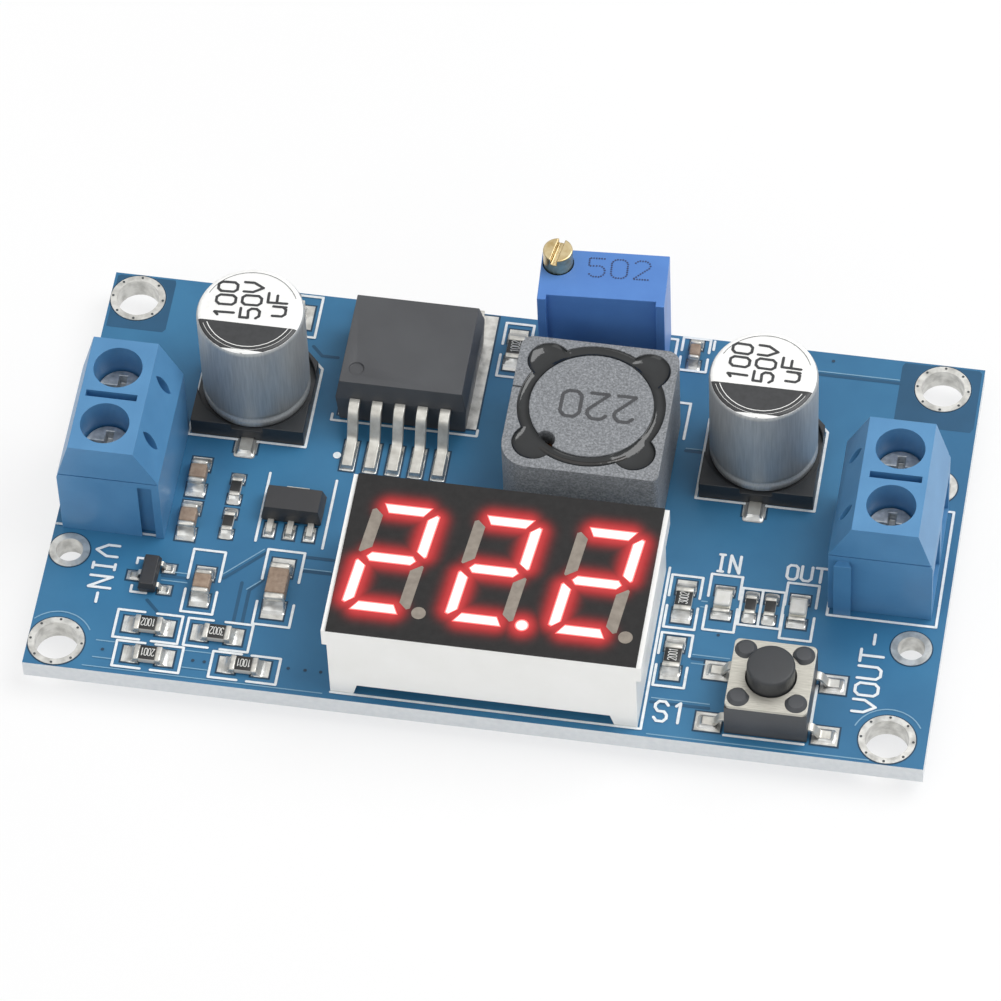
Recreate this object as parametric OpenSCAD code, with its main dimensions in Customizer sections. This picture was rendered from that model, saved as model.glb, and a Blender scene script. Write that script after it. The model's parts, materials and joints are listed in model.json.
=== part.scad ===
// Adjustable step-down (buck) converter module with a three-digit voltage display.
// +X runs along the board from the input terminal to the output terminal, +Y to the
// back edge, +Z up. The origin is under the middle of the board, at the tail ends.

/* [Circuit board] */
// Length of the board along X
board_l = 66; // [64:1:90]
// Depth of the board along Y
board_d = 36; // [36:1:60]
// Thickness of the laminate
board_t = 1.6; // [1:0.2:2.4]
// Length of the soldered tails below the board
tail_len = 1.4; // [1.2:0.1:3]
// Inside diameter of the plated mounting holes
mount_hole_d = 3.2; // [2.2:0.1:3.4]
// Outside diameter of the ring round a mounting hole
mount_ring_d = 4.15; // [3.8:0.05:4.2]
// Inside diameter of the plated wire holes
wire_hole_d = 2; // [1:0.1:2.4]
// Outside diameter of the ring round a wire hole
wire_ring_d = 3; // [2.8:0.1:3.2]

/* [Screw terminals] */
// Distance between the two poles of a terminal
pole_pitch = 5.08; // [5:0.01:5.2]
// Height of a terminal housing
term_h = 10.2; // [9.8:0.1:12]
// Depth of a terminal housing along X
term_d = 7.6; // [7.2:0.1:7.8]
// Diameter of the screwdriver holes
driver_hole_d = 3.6; // [3.4:0.1:4]
// Diameter of the screw shank
shank_d = 2.9; // [2.4:0.1:3]
// Travel of a clamping screw from closed to open
screw_travel = 2; // [1:0.1:2.2]

/* [Capacitors] */
// Diameter of the electrolytic cans
can_d = 8; // [6.3:0.1:8.2]
// Height of the can's top above the board
can_h = 10.3; // [8:0.1:13]
// Side of the square plastic base
base_w = 8.5; // [8.3:0.1:8.6]

/* [Regulator] */
// Width of the moulded body
reg_w = 9.8; // [9:0.1:11]
// Depth of the moulded body
reg_d = 8.7; // [8:0.1:9.4]
// Height of the moulded body
reg_h = 4.5; // [4:0.1:5]
// Distance from lead to lead
reg_pitch = 1.7; // [1.5:0.05:1.8]

/* [Inductor] */
// Side of the square shield
ind_w = 11.8; // [10.5:0.1:12.4]
// Height of the inductor above the board
ind_h = 8; // [6:0.1:10]
// Diameter of the drum core's flange
core_d = 9.15; // [8:0.05:9.3]
// Diameter of the round opening in the shield
ind_open_d = 10.9; // [10:0.1:10.9]

/* [Trimmer] */
// Length of the trimmer
trim_l = 9.4; // [8:0.1:11]
// Thickness of the trimmer
trim_w = 4.7; // [4:0.1:4.9]
// Height of the trimmer's top above the board
trim_h = 10; // [8:0.1:12]
// Diameter of the adjusting screw's head
trim_screw_d = 2.2; // [1.6:0.1:2.4]

/* [Display] */
// Width of the display's upper band along X
disp_w = 23.2; // [23:0.1:24]
// Depth of the display along Y
disp_d = 14; // [13.5:0.1:15]
// Height of the display above the board
disp_h = 7.75; // [6.5:0.05:9]
// Number of digits
digits = 3; // [1:1:3]
// Height of a digit
digit_h = 9.6; // [8:0.1:10]
// Distance from digit to digit
digit_pitch = 7.5; // [7:0.1:7.6]
// Width of a segment bar
seg_w = 0.88; // [0.6:0.02:1.1]
// Slant of the digits in degrees
slant = 6; // [0:1:10]

/* [Push button] */
// Side of the square switch
sw_w = 6; // [5.4:0.1:6.4]
// Height of the metal cover's top above the board
sw_h = 3.5; // [3.2:0.1:4]
// Height of the plunger's top above the board
plunger_h = 5; // [4.3:0.1:9]
// Diameter of the plunger
plunger_d = 3.5; // [2.5:0.1:3.6]
// Travel of the plunger
press = 0.25; // [0.1:0.05:0.3]

/* [Hidden] */
$fn = 64;

// Heights of the board's faces and of the tinned pads on them
board_z = tail_len;
top_z = board_z + board_t;
pad_t = 0.05;
pad_z = top_z + pad_t;
// Play round a turning or sliding piece, and round a pin in its hole
play = 0.05;
pin_play = 0.15;
// Thickness of the copper sleeve in a plated hole
sleeve_t = 0.1;

// Mounting holes, set in from the board's edges
mount_left = 2.1;
mount_right = 2.9;
mount_side = 2.2;
mount_xs = [-board_l / 2 + mount_left, board_l / 2 - mount_right];
mount_ys = [-board_d / 2 + mount_side, board_d / 2 - mount_side];

// Screw terminals: each has its own frame, with u towards the wire entry
term_len = 2 * pole_pitch;
term_out = 3.4;
term_in = term_d - term_out;
in_term = [-board_l / 2 + 4, -0.67];
out_term = [board_l / 2 - 4.5, 0.09];
pole_ys = [-pole_pitch / 2, pole_pitch / 2];
chamfer_in = [1.65, 3.4];
chamfer_out = [1.1, 3.9];
clamp_wall = 0.5;
clamp_len = 3.6;
clamp_w = shank_d + 2 * (clamp_wall + 2 * play);
clamp_z = 0.4;
clamp_floor_z = clamp_z + 0.7;
clamp_top_t = 1.6;
guard_t = 0.4;
guard_low_z = 1.9;
clamp_ceiling_z = guard_low_z + guard_t + screw_travel + play;
clamp_top_z = clamp_ceiling_z + clamp_top_t;
head_h = 1.5;
head_z = clamp_top_z + 0.1;
head_d = driver_hole_d - 0.2;
drive_w = 0.55;
slot_w = 0.8;
slot_l = 2.2;
slot_depth = 1.2;
slot_down = 0.45;
drive_depth = 0.8;
clamp_pin_d = 1;
entry_w = 3.4;
entry_h = 3.5;
entry_flare = 0.4;

// Wire holes, one clear of each end of both terminals
wire_gap = 0.72;
wire_left = 1.5;
wire_right = 2.2;
wire_y = -0.4;
wire_pitch = term_len + 2 * wire_gap + wire_ring_d;
wire_xs = [-board_l / 2 + wire_left, board_l / 2 - wire_right];
wire_ys = [wire_y - wire_pitch / 2, wire_y + wire_pitch / 2];

// The main parts stand in a row from terminal to terminal and in a column from the front
// edge to the back edge. The room that they leave is shared out between them.
function total(v) = [for (x = v) 1] * v;
// Width of a square piece that is turned by angle a
function foot(w, d, a) = w * cos(a) + d * sin(abs(a));
trim_turn = 3.3;
in_face = in_term[0] + term_in;
out_face = out_term[0] - term_in;
row = [base_w, reg_w, ind_w, base_w];
row_gaps = [0.22, 2, 3.78, 2.25, 2.25];
row_share = (out_face - in_face - total(row)) / total(row_gaps);
// Middle of the piece with number n of the row
function row_x(n) = in_face + total([for (i = [0:n]) row_gaps[i]]) * row_share
    + total([for (i = [0:n]) row[i]]) - row[n] / 2;
column = [disp_d, ind_w, foot(trim_w, trim_l, trim_turn)];
column_gaps = [0.7, 2.1, 1.89, 0.27];
column_share = (board_d - total(column)) / total(column_gaps);
function column_y(n) = -board_d / 2 + total([for (i = [0:n]) column_gaps[i]]) * column_share
    + total([for (i = [0:n]) column[i]]) - column[n] / 2;
disp = [0.92, column_y(0)];
// The small parts are drawn on a 66 x 36 layout, which follows the faces of the terminals,
// the display and the board's edges
function lay_x(x) = lookup(x, [[-33, -board_l / 2], [-24.8, in_face], [-10.68, disp[0] - disp_w / 2],
    [12.52, disp[0] + disp_w / 2], [24.3, out_face], [33, board_l / 2]]);
function lay_y(y) = lookup(y, [[-18, -board_d / 2], [-17.3, disp[1] - disp_d / 2],
    [-3.3, disp[1] + disp_d / 2], [18, board_d / 2]]);
function lay(p) = [lay_x(p[0]), lay_y(p[1])];

// Electrolytic capacitors
in_cap = [row_x(0), lay_y(8.25)];
out_cap = [row_x(3), lay_y(7.75)];
can_bead_z = 0.95;
can_bead_r = 0.42;
can_bead_out = 0.12;
can_bead_from = 0.4;
can_shoulder = 0.45;
can_toe = 0.25;
base_t = 1.1;
base_rise = 0.55;
base_seat_out = 0.15;
base_corner = 1.9;
can_z = pad_t + base_t;
cap_lead_w = 0.9;
cap_lead_t = 0.2;
cap_lead_out = 1.2;
cap_lead_in = 1.6;

// Regulator: its place is the middle of the moulded body's front face
reg_draft = 0.3;
reg_lead_n = 5;
reg_lead_w = 0.8;
reg_lead_t = 0.45;
reg_lead_z = 2.74;
reg_lead_out = 4.35;
reg_foot = 2.5;
reg_tab_t = 1.3;
reg_tab_out = 1.85;
reg_tab_side = 0.35;
reg_tab_in = 1.6;
reg_edge = 0.7;
reg_mark_at = [1.38, 1.64];
reg_mark_d = 1.1;
reg_mark_t = 0.15;
reg = [row_x(1), board_d / 2 - reg_edge - reg_tab_out - reg_d];

// Inductor, behind the display
ind = [row_x(2), column_y(1)];
ind_corner = 1;
ind_front_corner = 2.1;
lobe_r = 1.6;
lobe_at = 3.7;
core_at = [0.1, 0.2];
open_at = [0.1, 0.15];
notch_r = 0.75;
notch_at = [-2.91, -3.47];
flange_t = 1.6;
post_d = 4.4;
resin_drop = 0.4;
wire_d = 0.55;
ind_clip_t = 0.3;
ind_clip_w = 3;
ind_clip_in = 2.7;
ind_clip_up = 1.2;

// Trimmer, near the back edge and turned a little, as it is soldered by hand
trim = [ind[0] - 0.55, column_y(2)];
trim_screw_at = [-3.45, 1.1];
trim_head_out = 1.6;
trim_head_in = 0.6;
trim_shaft_d = 1.5;
trim_shaft_len = 6;
trim_slot = [0.45, 0.5];
trim_slot_turn = 77;
trim_rim = 0.65;
trim_recess = 0.45;
trim_seal_t = 0.8;
trim_foot = 0.4;
trim_pin_pitch = 2.54;

// Display
disp_rim = 0.35;
disp_band = 1.85;
disp_inset = 0.35;
disp_wall = 0.9;
disp_foot_gap = 1.1;
disp_foot_w = 1.7;
disp_foot_slope = 0.3;
face_t = 0.15;
window_depth = 1.4;
disp_board_t = 1;
disp_board_z = 1;
digit_dx = -0.12;
digit_dy = -0.18;
digit_w = 5;
bar_a_in = 0.7;
bar_g_in = 0.65;
bar_b_in = [0.55, 0.3];
bar_slope = [0.52, 0.35, 0.55];
dot_d = 1.05;
dot_at = [2.75, -4.43];
row_pitch = 10.16;
pin_pitch = 2.54;
row_pins = 6;
disp_pin_d = 0.5;
// Segments that glow in each digit, from a to g, and the digits with a glowing point
LIT = "abdeg";
LIT_POINTS = [false, true, false];

// Push button
sw_cover_t = 0.3;
sw_post_d = 1.65;
sw_post_lip = 0.55;
sw_post_h = 0.25;
sw_post_at = 2.1;
sw_pocket_z = 1.6;
flange_d = plunger_d + 0.9;
flange_h = 0.5;
dome_t = 0.08;
dome_h = 0.45;
sw_leg_w = 0.7;
sw_leg_y = 2.25;
sw_leg_out = 1.7;
sw_leg_z = 0.9;
sw_leg_foot = 0.9;
sw_leg_t = 0.2;

// Small parts on the board: [x, y, turn] of each, and by size its length, width, height,
// metal end and how far its pads reach past it
R0805 = [2, 1.25, 0.5, 0.38, 0.9];
R0603 = [1.6, 0.8, 0.45, 0.3, 0.55];
C0805 = [2, 1.25, 0.95, 0.4, 0.8];
C1206 = [3.2, 1.5, 1.2, 0.5, 1.1];
C0603 = [1.6, 0.8, 0.8, 0.3, 0.55];
L0805 = [2, 1.25, 0.4, 0.35, 0.5];
RESISTORS = [
    [-24.45, -13.6, 0, R0805], [-19.35, -13.65, 0, R0805],
    [-24, -16.2, 0, R0805], [-16.9, -16.15, 0, R0805],
    [13.87, -5.95, 90, R0805], [13.8, -11, 90, R0805],
    [18.75, -5.75, 90, R0603], [20.2, -5.75, 90, R0603],
    [-1.95, 14.9, 90, R0805],
    [-20.35, -0.6, 90, R0603], [-20.35, -3.75, 90, R0603]
];
CERAMICS = [
    [-21.2, -9.6, 90, C0805], [-15.7, -9, 90, C1206],
    [-23.3, -3.9, 90, C0805], [-23.3, 0.1, 90, C0805], [11.4, 16.35, 90, C0603]
];
LEDS = [[16.7, -5.65, 90, L0805], [22.25, -5.65, 90, L0805]];

// The push button stands between the resistors beside the display and the mounting hole
sw = [(lay_x(13.87) + R0805[1] / 2 + mount_xs[1] - mount_ring_d / 2) / 2 + 0.14, lay_y(-13.88)];

// Three-legged reference, transistor, diode and the meter's controller
ref = lay([-15.75, -1.9]);
ref_size = [4.5, 2.5, 1.5];
ref_pitch = 1.5;
tran = lay([-25.15, -9.3]);
tran_size = [1.3, 2.9, 1];
tran_pitch = 1.9;
dio = lay([-20.7, 15.75]);
dio_size = [4.3, 2.6, 2.1];
dio_lead_w = 1.5;
dio_lead_t = 0.15;
ctl = disp;
ctl_size = [6.5, 4.4, 0.9];
ctl_pitch = 0.65;
ctl_legs = 10;

function unit(v) = v / norm(v);
// Points of an arc about c
function arc(c, r, a0, a1, n) = [for (i = [0:n]) c + r * [cos(a0 + (a1 - a0) * i / n),
    sin(a0 + (a1 - a0) * i / n)]];
// A path with each inner corner drawn as a curve that starts r before it
function eased(p, r, n = 4) = concat([p[0]],
    [for (i = [1:len(p) - 2]) let (a = p[i] + unit(p[i - 1] - p[i]) * r,
        b = p[i] + unit(p[i + 1] - p[i]) * r)
        for (k = [0:n]) let (t = k / n) (1 - t) * (1 - t) * a + 2 * t * (1 - t) * p[i] + t * t * b],
    [p[len(p) - 1]]);
// Left-hand normal of a path at point i, lengthened so that a strip keeps its thickness
function side(p, i) = let (n = len(p) - 1,
    a = i == 0 ? unit(p[1] - p[0]) : unit(p[i] - p[i - 1]),
    b = i == n ? a : unit(p[i + 1] - p[i]),
    m = unit(a + b)) [-m[1], m[0]] / (m * a);
// Outline of a strip of thickness t along a path
function strip(p, t) = concat([for (i = [0:len(p) - 1]) p[i] + side(p, i) * t / 2],
    [for (i = [len(p) - 1:-1:0]) p[i] - side(p, i) * t / 2]);
// Rectangle with its own radius at each corner, from the front left one round
function rounded_rect(w, d, r) = concat(
    arc([-w / 2 + r[0], -d / 2 + r[0]], r[0], 180, 270, 6),
    arc([w / 2 - r[1], -d / 2 + r[1]], r[1], 270, 360, 6),
    arc([w / 2 - r[2], d / 2 - r[2]], r[2], 0, 90, 6),
    arc([-w / 2 + r[3], d / 2 - r[3]], r[3], 90, 180, 6));

// Places children at x, y on the board, at height z above its top face
module on_board(at, z = 0, turn = 0)
    translate([at[0], at[1], top_z + z]) rotate([0, 0, turn]) children();
module block(w, d, h) translate([-w / 2, -d / 2, 0]) cube([w, d, h]);
// Profile in X and Z, extruded to a width along Y
module across(width) rotate([90, 0, 0]) translate([0, 0, -width / 2]) linear_extrude(width) children();
// Moulded block whose four sides lean in above and below the line at z = mid
module moulded(w, d, h, mid, lean) intersection() {
    across(d) polygon([[-w / 2 + lean / 2, 0], [w / 2 - lean / 2, 0], [w / 2, mid],
        [w / 2 - lean, h], [-w / 2 + lean, h], [-w / 2, mid]]);
    rotate([0, 0, 90]) across(w) polygon([[-d / 2 + lean / 2, 0], [d / 2 - lean / 2, 0],
        [d / 2, mid], [d / 2 - lean, h], [-d / 2 + lean, h], [-d / 2, mid]]);
}
// Gull-wing lead: leaves at height h along +X, steps down and ends in a flat foot
module gull(reach, h, foot, w, t) across(w) polygon(strip(eased(
    [[0, h], [(reach - foot) * 0.45, h], [reach - foot, t / 2], [reach, t / 2]],
    min(reach - foot, h) * 0.3), t));

// Board ---------------------------------------------------------------------

// Places of the soldered tails: [x, y, hole diameter]
function turned(p, a) = [p[0] * cos(a) - p[1] * sin(a), p[0] * sin(a) + p[1] * cos(a)];
trim_pin_at = [for (i = [-1:1]) trim + turned([i * trim_pin_pitch, 0], trim_turn)];
disp_pin_at = [for (s = [-1, 1], i = [0:row_pins - 1])
    disp + [(i - (row_pins - 1) / 2) * pin_pitch, s * row_pitch / 2]];
clamp_pin_at = [for (c = [in_term, out_term], y = pole_ys) c + [0, y]];
trim_pin_d = 0.5;
TAILS = concat([for (p = clamp_pin_at) [p[0], p[1], clamp_pin_d]],
    [for (p = disp_pin_at) [p[0], p[1], disp_pin_d]],
    [for (p = trim_pin_at) [p[0], p[1], trim_pin_d]]);

module circuit_board() color("steelblue") difference() {
    translate([0, 0, board_z]) block(board_l, board_d, board_t);
    for (x = mount_xs, y = mount_ys) translate([x, y, board_z - 1])
        cylinder(d = mount_hole_d + 2 * sleeve_t, h = board_t + 2);
    for (x = wire_xs, y = wire_ys) translate([x, y, board_z - 1])
        cylinder(d = wire_hole_d + 2 * sleeve_t, h = board_t + 2);
    for (p = TAILS) translate([p[0], p[1], board_z - 1])
        cylinder(d = p[2] + 2 * pin_play, h = board_t + 2, $fn = 32);
}

// Copper sleeve through the board with a thin ring on each face
module eyelet(hole, ring) translate([0, 0, board_z - pad_t]) rotate_extrude() polygon([
    [hole / 2, 0], [ring / 2, 0], [ring / 2, pad_t], [hole / 2 + sleeve_t, pad_t],
    [hole / 2 + sleeve_t, pad_t + board_t], [ring / 2, pad_t + board_t],
    [ring / 2, board_t + 2 * pad_t], [hole / 2, board_t + 2 * pad_t]]);
module plated_holes() color("gainsboro") {
    for (x = mount_xs, y = mount_ys) translate([x, y, 0]) eyelet(mount_hole_d, mount_ring_d);
    for (x = wire_xs, y = wire_ys) translate([x, y, 0]) eyelet(wire_hole_d, wire_ring_d);
}

// Pads of the larger parts, as [width, depth] or as what they reach past the part
cap_pad = [1.7, 3.6];
cap_pad_in = 0.6;
reg_pad_side = 0.3;
reg_pad_y = 0.5;
reg_lead_pad = [0.125, 0.12];
sw_pad = [1.9, 1.6];
sw_pad_out = 1.25;
ind_pad_d = 3;
ind_pad_in = 0.9;
dio_pad = [1.8, 2.2];
dio_pad_at = 2.3;
tran_pad = [0.95, 0.8];
tran_pad_at = 1.25;
ref_pad = [0.8, 1.3];
ref_pad_out = 0.75;
ref_tab_pad = [2, 1.8];
ref_tab_pad_in = 0.2;

// Two pads of one chip part
module chip_pads(s) for (e = [-1, 1])
    translate([e * (s[0] - s[3] + s[4]) / 2, 0, 0]) block(s[3] + s[4], s[1] + 0.15, pad_t);
module solder_pads() color("silver") {
    for (c = concat(RESISTORS, CERAMICS, LEDS)) on_board(lay(c), 0, c[2]) chip_pads(c[3]);
    for (i = [0:reg_lead_n - 1])
        on_board(reg + [(i - 2) * reg_pitch, -reg_lead_out + reg_foot / 2 - reg_lead_pad[1] / 2])
            block(reg_lead_w + 2 * reg_lead_pad[0], reg_foot + 2 * reg_lead_pad[1], pad_t);
    on_board(reg + [reg_pad_side, (reg_d + reg_tab_out) / 2 + reg_pad_y])
        block(reg_w + 2 * reg_pad_side, reg_d + reg_tab_out, pad_t);
    for (k = [0, 1], s = [-1, 1]) on_board([in_cap, out_cap][k])
        translate([0, s * (base_w / 2 - cap_pad_in), 0]) block(cap_pad[0], cap_pad[1], pad_t);
    for (x = [-1, 1], y = [-1, 1]) on_board(sw + [x * (sw_w / 2 + sw_pad_out), y * sw_leg_y])
        block(sw_pad[0], sw_pad[1], pad_t);
    for (s = [-1, 1]) on_board(ind + [0, s * (ind_w / 2 - ind_pad_in)])
        block(ind_clip_w + 1, ind_pad_d, pad_t);
    for (s = [-1, 1]) on_board(dio + [s * dio_pad_at, 0]) block(dio_pad[0], dio_pad[1], pad_t);
    on_board(tran + [-tran_pad_at, 0]) block(tran_pad[0], tran_pad[1], pad_t);
    for (s = [-1, 1]) on_board(tran + [tran_pad_at, s * tran_pitch / 2])
        block(tran_pad[0], tran_pad[1], pad_t);
    for (i = [-1:1]) on_board(ref + [i * ref_pitch, -ref_size[1] / 2 - ref_pad_out])
        block(ref_pad[0], ref_pad[1], pad_t);
    on_board(ref + [0, ref_size[1] / 2 - ref_tab_pad_in])
        block(ref_tab_pad[0], ref_tab_pad[1], pad_t);
}

// Solder round each tail, under the board
module solder_joints() color("silver") for (p = TAILS) translate([p[0], p[1], board_z]) mirror([0, 0, 1])
    difference() {
        union() {
            cylinder(d = p[2] + 1.2, h = pad_t, $fn = 32);
            translate([0, 0, pad_t])
                cylinder(d1 = p[2] + 1, d2 = p[2] + 0.25, h = tail_len * 0.6, $fn = 32);
        }
        translate([0, 0, -1]) cylinder(d = p[2], h = tail_len + 2, $fn = 32);
    }

// Screw terminals -----------------------------------------------------------

// Places children in the frame of one terminal; the input one is turned half round
module at_input() on_board(in_term, 0, 180) children();
module at_output() on_board(out_term) children();

// Lens of length l along X and width w
module lens_2d(l, w) let (r = (l * l + w * w) / (4 * w), a = asin(l / (2 * r))) polygon(concat(
    arc([0, w / 2 - r], r, 90 + a, 90 - a, 8), arc([0, r - w / 2], r, 270 + a, 270 - a, 8)));
module terminal_housing() difference() {
    union() {
        across(term_len) polygon([[-term_in, 0], [term_out, 0], [term_out, term_h - chamfer_out[1]],
            [term_out - chamfer_out[0], term_h], [-term_in + chamfer_in[0], term_h],
            [-term_in, term_h - chamfer_in[1]]]);
        // Dovetail rib that joins one block to the next
        translate([-term_in + 1.1, -term_len / 2, 0]) linear_extrude(term_h * 0.6)
            polygon([[-0.4, 0.01], [0.4, 0.01], [0.65, -0.5], [-0.65, -0.5]]);
    }
    translate([-term_in + 1.1, term_len / 2, -1]) linear_extrude(term_h * 0.6 + 1)
        polygon([[-0.5, 0.01], [0.5, 0.01], [0.75, -0.6], [-0.75, -0.6]]);
    for (y = pole_ys) translate([0, y, 0]) {
        translate([0, 0, clamp_top_z]) cylinder(d = driver_hole_d, h = term_h);
        // Chamber of the wire clamp, open underneath
        translate([0, 0, -1]) block(clamp_len + 0.2, clamp_w + 0.2, clamp_top_z + 1 + play);
        // Wire entry with a flared mouth
        translate([clamp_len / 2 + 1, 0, clamp_floor_z - 0.2]) block(4, entry_w, entry_h);
        translate([term_out, 0, clamp_floor_z - 0.2 - entry_flare])
            block(2 * entry_flare, entry_w + 2 * entry_flare, entry_h + 2 * entry_flare);
        // Lens-shaped test slot in the inner slope
        translate([-term_in + chamfer_in[0] * (1 - slot_down), 0, term_h - chamfer_in[1] * slot_down])
            rotate([0, 90 + atan(chamfer_in[0] / chamfer_in[1]), 0]) translate([0, 0, -1])
                linear_extrude(1 + slot_depth) lens_2d(slot_l, slot_w);
    }
    // Slot between the poles
    translate([0, 0, term_h - 1.2]) block(3.8, 0.55, 2);
    // Shallow step round the ends, level with the top of the rib
    for (s = [-1, 1]) translate([0, s * term_len / 2, term_h - chamfer_in[1] - 0.15])
        block(2 * term_d, 0.2, 0.12);
}
module input_terminal_housing() color("royalblue") at_input() terminal_housing();
module output_terminal_housing() color("royalblue") at_output() terminal_housing();

// Tinned square tube with a tapped roof and a solder tail
module wire_clamp() {
    difference() {
        translate([0, 0, clamp_z]) block(clamp_len, clamp_w, clamp_top_z - clamp_z);
        translate([0, 0, clamp_floor_z])
            block(clamp_len + 1, clamp_w - 2 * clamp_wall, clamp_ceiling_z - clamp_floor_z);
        translate([0, 0, clamp_ceiling_z - 1]) cylinder(d = shank_d + 2 * play, h = clamp_top_t + 2);
    }
    translate([0, 0, -board_t - tail_len])
        cylinder(d = clamp_pin_d, h = clamp_z + board_t + tail_len, $fn = 32);
}
module input_wire_clamps() color("silver") at_input() for (y = pole_ys) translate([0, y, 0]) wire_clamp();
module output_wire_clamps() color("silver") at_output() for (y = pole_ys) translate([0, y, 0]) wire_clamp();

// Screw with a slotted cross head; its tip stands on the wire guard
module clamp_screw() {
    difference() {
        translate([0, 0, head_z]) cylinder(d = head_d, h = head_h);
        translate([0, 0, head_z + head_h - drive_depth]) {
            block(head_d + 1, drive_w, 2);
            block(drive_w, head_d * 0.7, 2);
        }
    }
    translate([0, 0, guard_low_z + guard_t]) {
        cylinder(d1 = shank_d - 0.8, d2 = shank_d, h = 0.4);
        translate([0, 0, 0.4]) cylinder(d = shank_d, h = head_z - guard_low_z - guard_t - 0.4);
    }
}
// Plate with turned-down edges that the screw presses on the wire
module wire_guard() translate([0, 0, guard_low_z]) {
    block(clamp_len - 0.6, clamp_w - 2 * clamp_wall - 2 * play, guard_t);
    for (s = [-1, 1]) translate([s * (clamp_len / 2 - 0.5), 0, -0.3])
        block(guard_t, clamp_w - 2 * clamp_wall - 2 * play, 0.3);
}
module input_screw_front() color("silver") at_input() translate([0, pole_ys[1], 0]) clamp_screw();
module input_screw_back() color("silver") at_input() translate([0, pole_ys[0], 0]) clamp_screw();
module output_screw_front() color("silver") at_output() translate([0, pole_ys[0], 0]) clamp_screw();
module output_screw_back() color("silver") at_output() translate([0, pole_ys[1], 0]) clamp_screw();
module input_guard_front() color("khaki") at_input() translate([0, pole_ys[1], 0]) wire_guard();
module input_guard_back() color("khaki") at_input() translate([0, pole_ys[0], 0]) wire_guard();
module output_guard_front() color("khaki") at_output() translate([0, pole_ys[0], 0]) wire_guard();
module output_guard_back() color("khaki") at_output() translate([0, pole_ys[1], 0]) wire_guard();

// Capacitors ----------------------------------------------------------------

// Plastic base with its two back corners cut, raised round the can at the corners, with a
// groove under it for each lead
module capacitor_base() difference() {
    linear_extrude(base_t + base_rise) polygon([[-base_w / 2, -base_w / 2], [base_w / 2, -base_w / 2],
        [base_w / 2, base_w / 2 - base_corner], [base_w / 2 - base_corner, base_w / 2],
        [-base_w / 2 + base_corner, base_w / 2], [-base_w / 2, base_w / 2 - base_corner]]);
    for (s = [-1, 1]) translate([0, s * (cap_lead_in + base_w / 2) / 2, -1])
        block(cap_lead_w + 2 * play, base_w / 2 - cap_lead_in + 0.6, 1 + cap_lead_t);
    translate([0, 0, base_t]) cylinder(d = base_w + 2 * base_seat_out, h = base_rise + 1);
}
// Drawn can with a rolled groove near its foot and a rounded shoulder
module capacitor_can() translate([0, 0, can_z]) rotate_extrude()
    let (r = can_d / 2, h = can_h - can_z, e = can_shoulder, b = can_bead_z)
    polygon(concat([[0, 0], [r - can_toe, 0], [r, can_toe], [r, b - can_bead_from]],
        arc([r + can_bead_out, b], can_bead_r, 254, 106, 6),
        [[r, b + can_bead_from]], arc([r - e, h - e], e, 0, 90, 6), [[0, h]]));
module input_capacitor_base() color("dimgray") on_board(in_cap, pad_t) capacitor_base();
module output_capacitor_base() color("dimgray") on_board(out_cap, pad_t) capacitor_base();
module input_capacitor_can() color("lightgray") on_board(in_cap) capacitor_can();
module output_capacitor_can() color("lightgray") on_board(out_cap) capacitor_can();
module capacitor_leads() color("silver") for (k = [0, 1], s = [-1, 1])
    on_board([in_cap, out_cap][k], pad_t)
        translate([0, s * (cap_lead_in + base_w / 2 + cap_lead_out) / 2, 0])
            block(cap_lead_w, base_w / 2 + cap_lead_out - cap_lead_in, cap_lead_t);

// Regulator -----------------------------------------------------------------

module regulator_tab() color("silver") on_board(reg, pad_t) linear_extrude(reg_tab_t) difference() {
    translate([-reg_w / 2 + reg_tab_side, reg_tab_in])
        square([reg_w - 2 * reg_tab_side, reg_d + reg_tab_out - reg_tab_in]);
    for (s = [-1, 1]) translate([s * (reg_w / 2 - reg_tab_side), reg_d + reg_tab_side])
        circle(r = reg_tab_side, $fn = 24);
}
module regulator_body() color("dimgray") difference() {
    on_board(reg + [0, reg_d / 2], pad_t) difference() {
        moulded(reg_w, reg_d, reg_h - pad_t, reg_lead_z, reg_draft);
        // Ejector mark
        translate([-reg_w / 2 + reg_mark_at[0], -reg_d / 2 + reg_mark_at[1], reg_h - pad_t - reg_mark_t])
            cylinder(d = reg_mark_d, h = 1);
    }
    regulator_tab();
}
module regulator_leads() color("silver") for (i = [0:reg_lead_n - 1])
    on_board(reg + [(i - (reg_lead_n - 1) / 2) * reg_pitch, 0], pad_t, -90)
        gull(reg_lead_out, reg_lead_z - pad_t, reg_foot, reg_lead_w, reg_lead_t);

// Inductor ------------------------------------------------------------------

module flange_2d() translate(core_at) difference() {
    circle(d = core_d);
    translate(notch_at) circle(r = notch_r, $fn = 24);
}
// Round opening with a lobe towards each corner
module flower_2d() translate(open_at) {
    circle(d = ind_open_d);
    for (x = [-1, 1], y = [-1, 1]) translate([x * lobe_at, y * lobe_at]) circle(r = lobe_r, $fn = 32);
}
ind_foot_z = pad_t + ind_clip_t;
module inductor_shield() color("darkgray") on_board(ind, ind_foot_z) difference() {
    linear_extrude(ind_h - ind_foot_z) difference() {
        polygon(rounded_rect(ind_w, ind_w, [ind_front_corner, ind_corner / 2, ind_corner, ind_corner]));
        flower_2d();
    }
    // Air gap slit in the left wall
    translate([-ind_w / 2, 1.2, ind_h - ind_foot_z - 2]) block(2, 0.12, 4);
}
module inductor_core() color("gray") on_board(ind, ind_foot_z) {
    translate(core_at) {
        cylinder(d = core_d, h = flange_t);
        cylinder(d = post_d, h = ind_h - ind_foot_z - 0.5);
    }
    translate([0, 0, ind_h - ind_foot_z - flange_t]) linear_extrude(flange_t) flange_2d();
}
wind_z = ind_foot_z + flange_t;
wind_h = ind_h - flange_t - wind_z;
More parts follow.
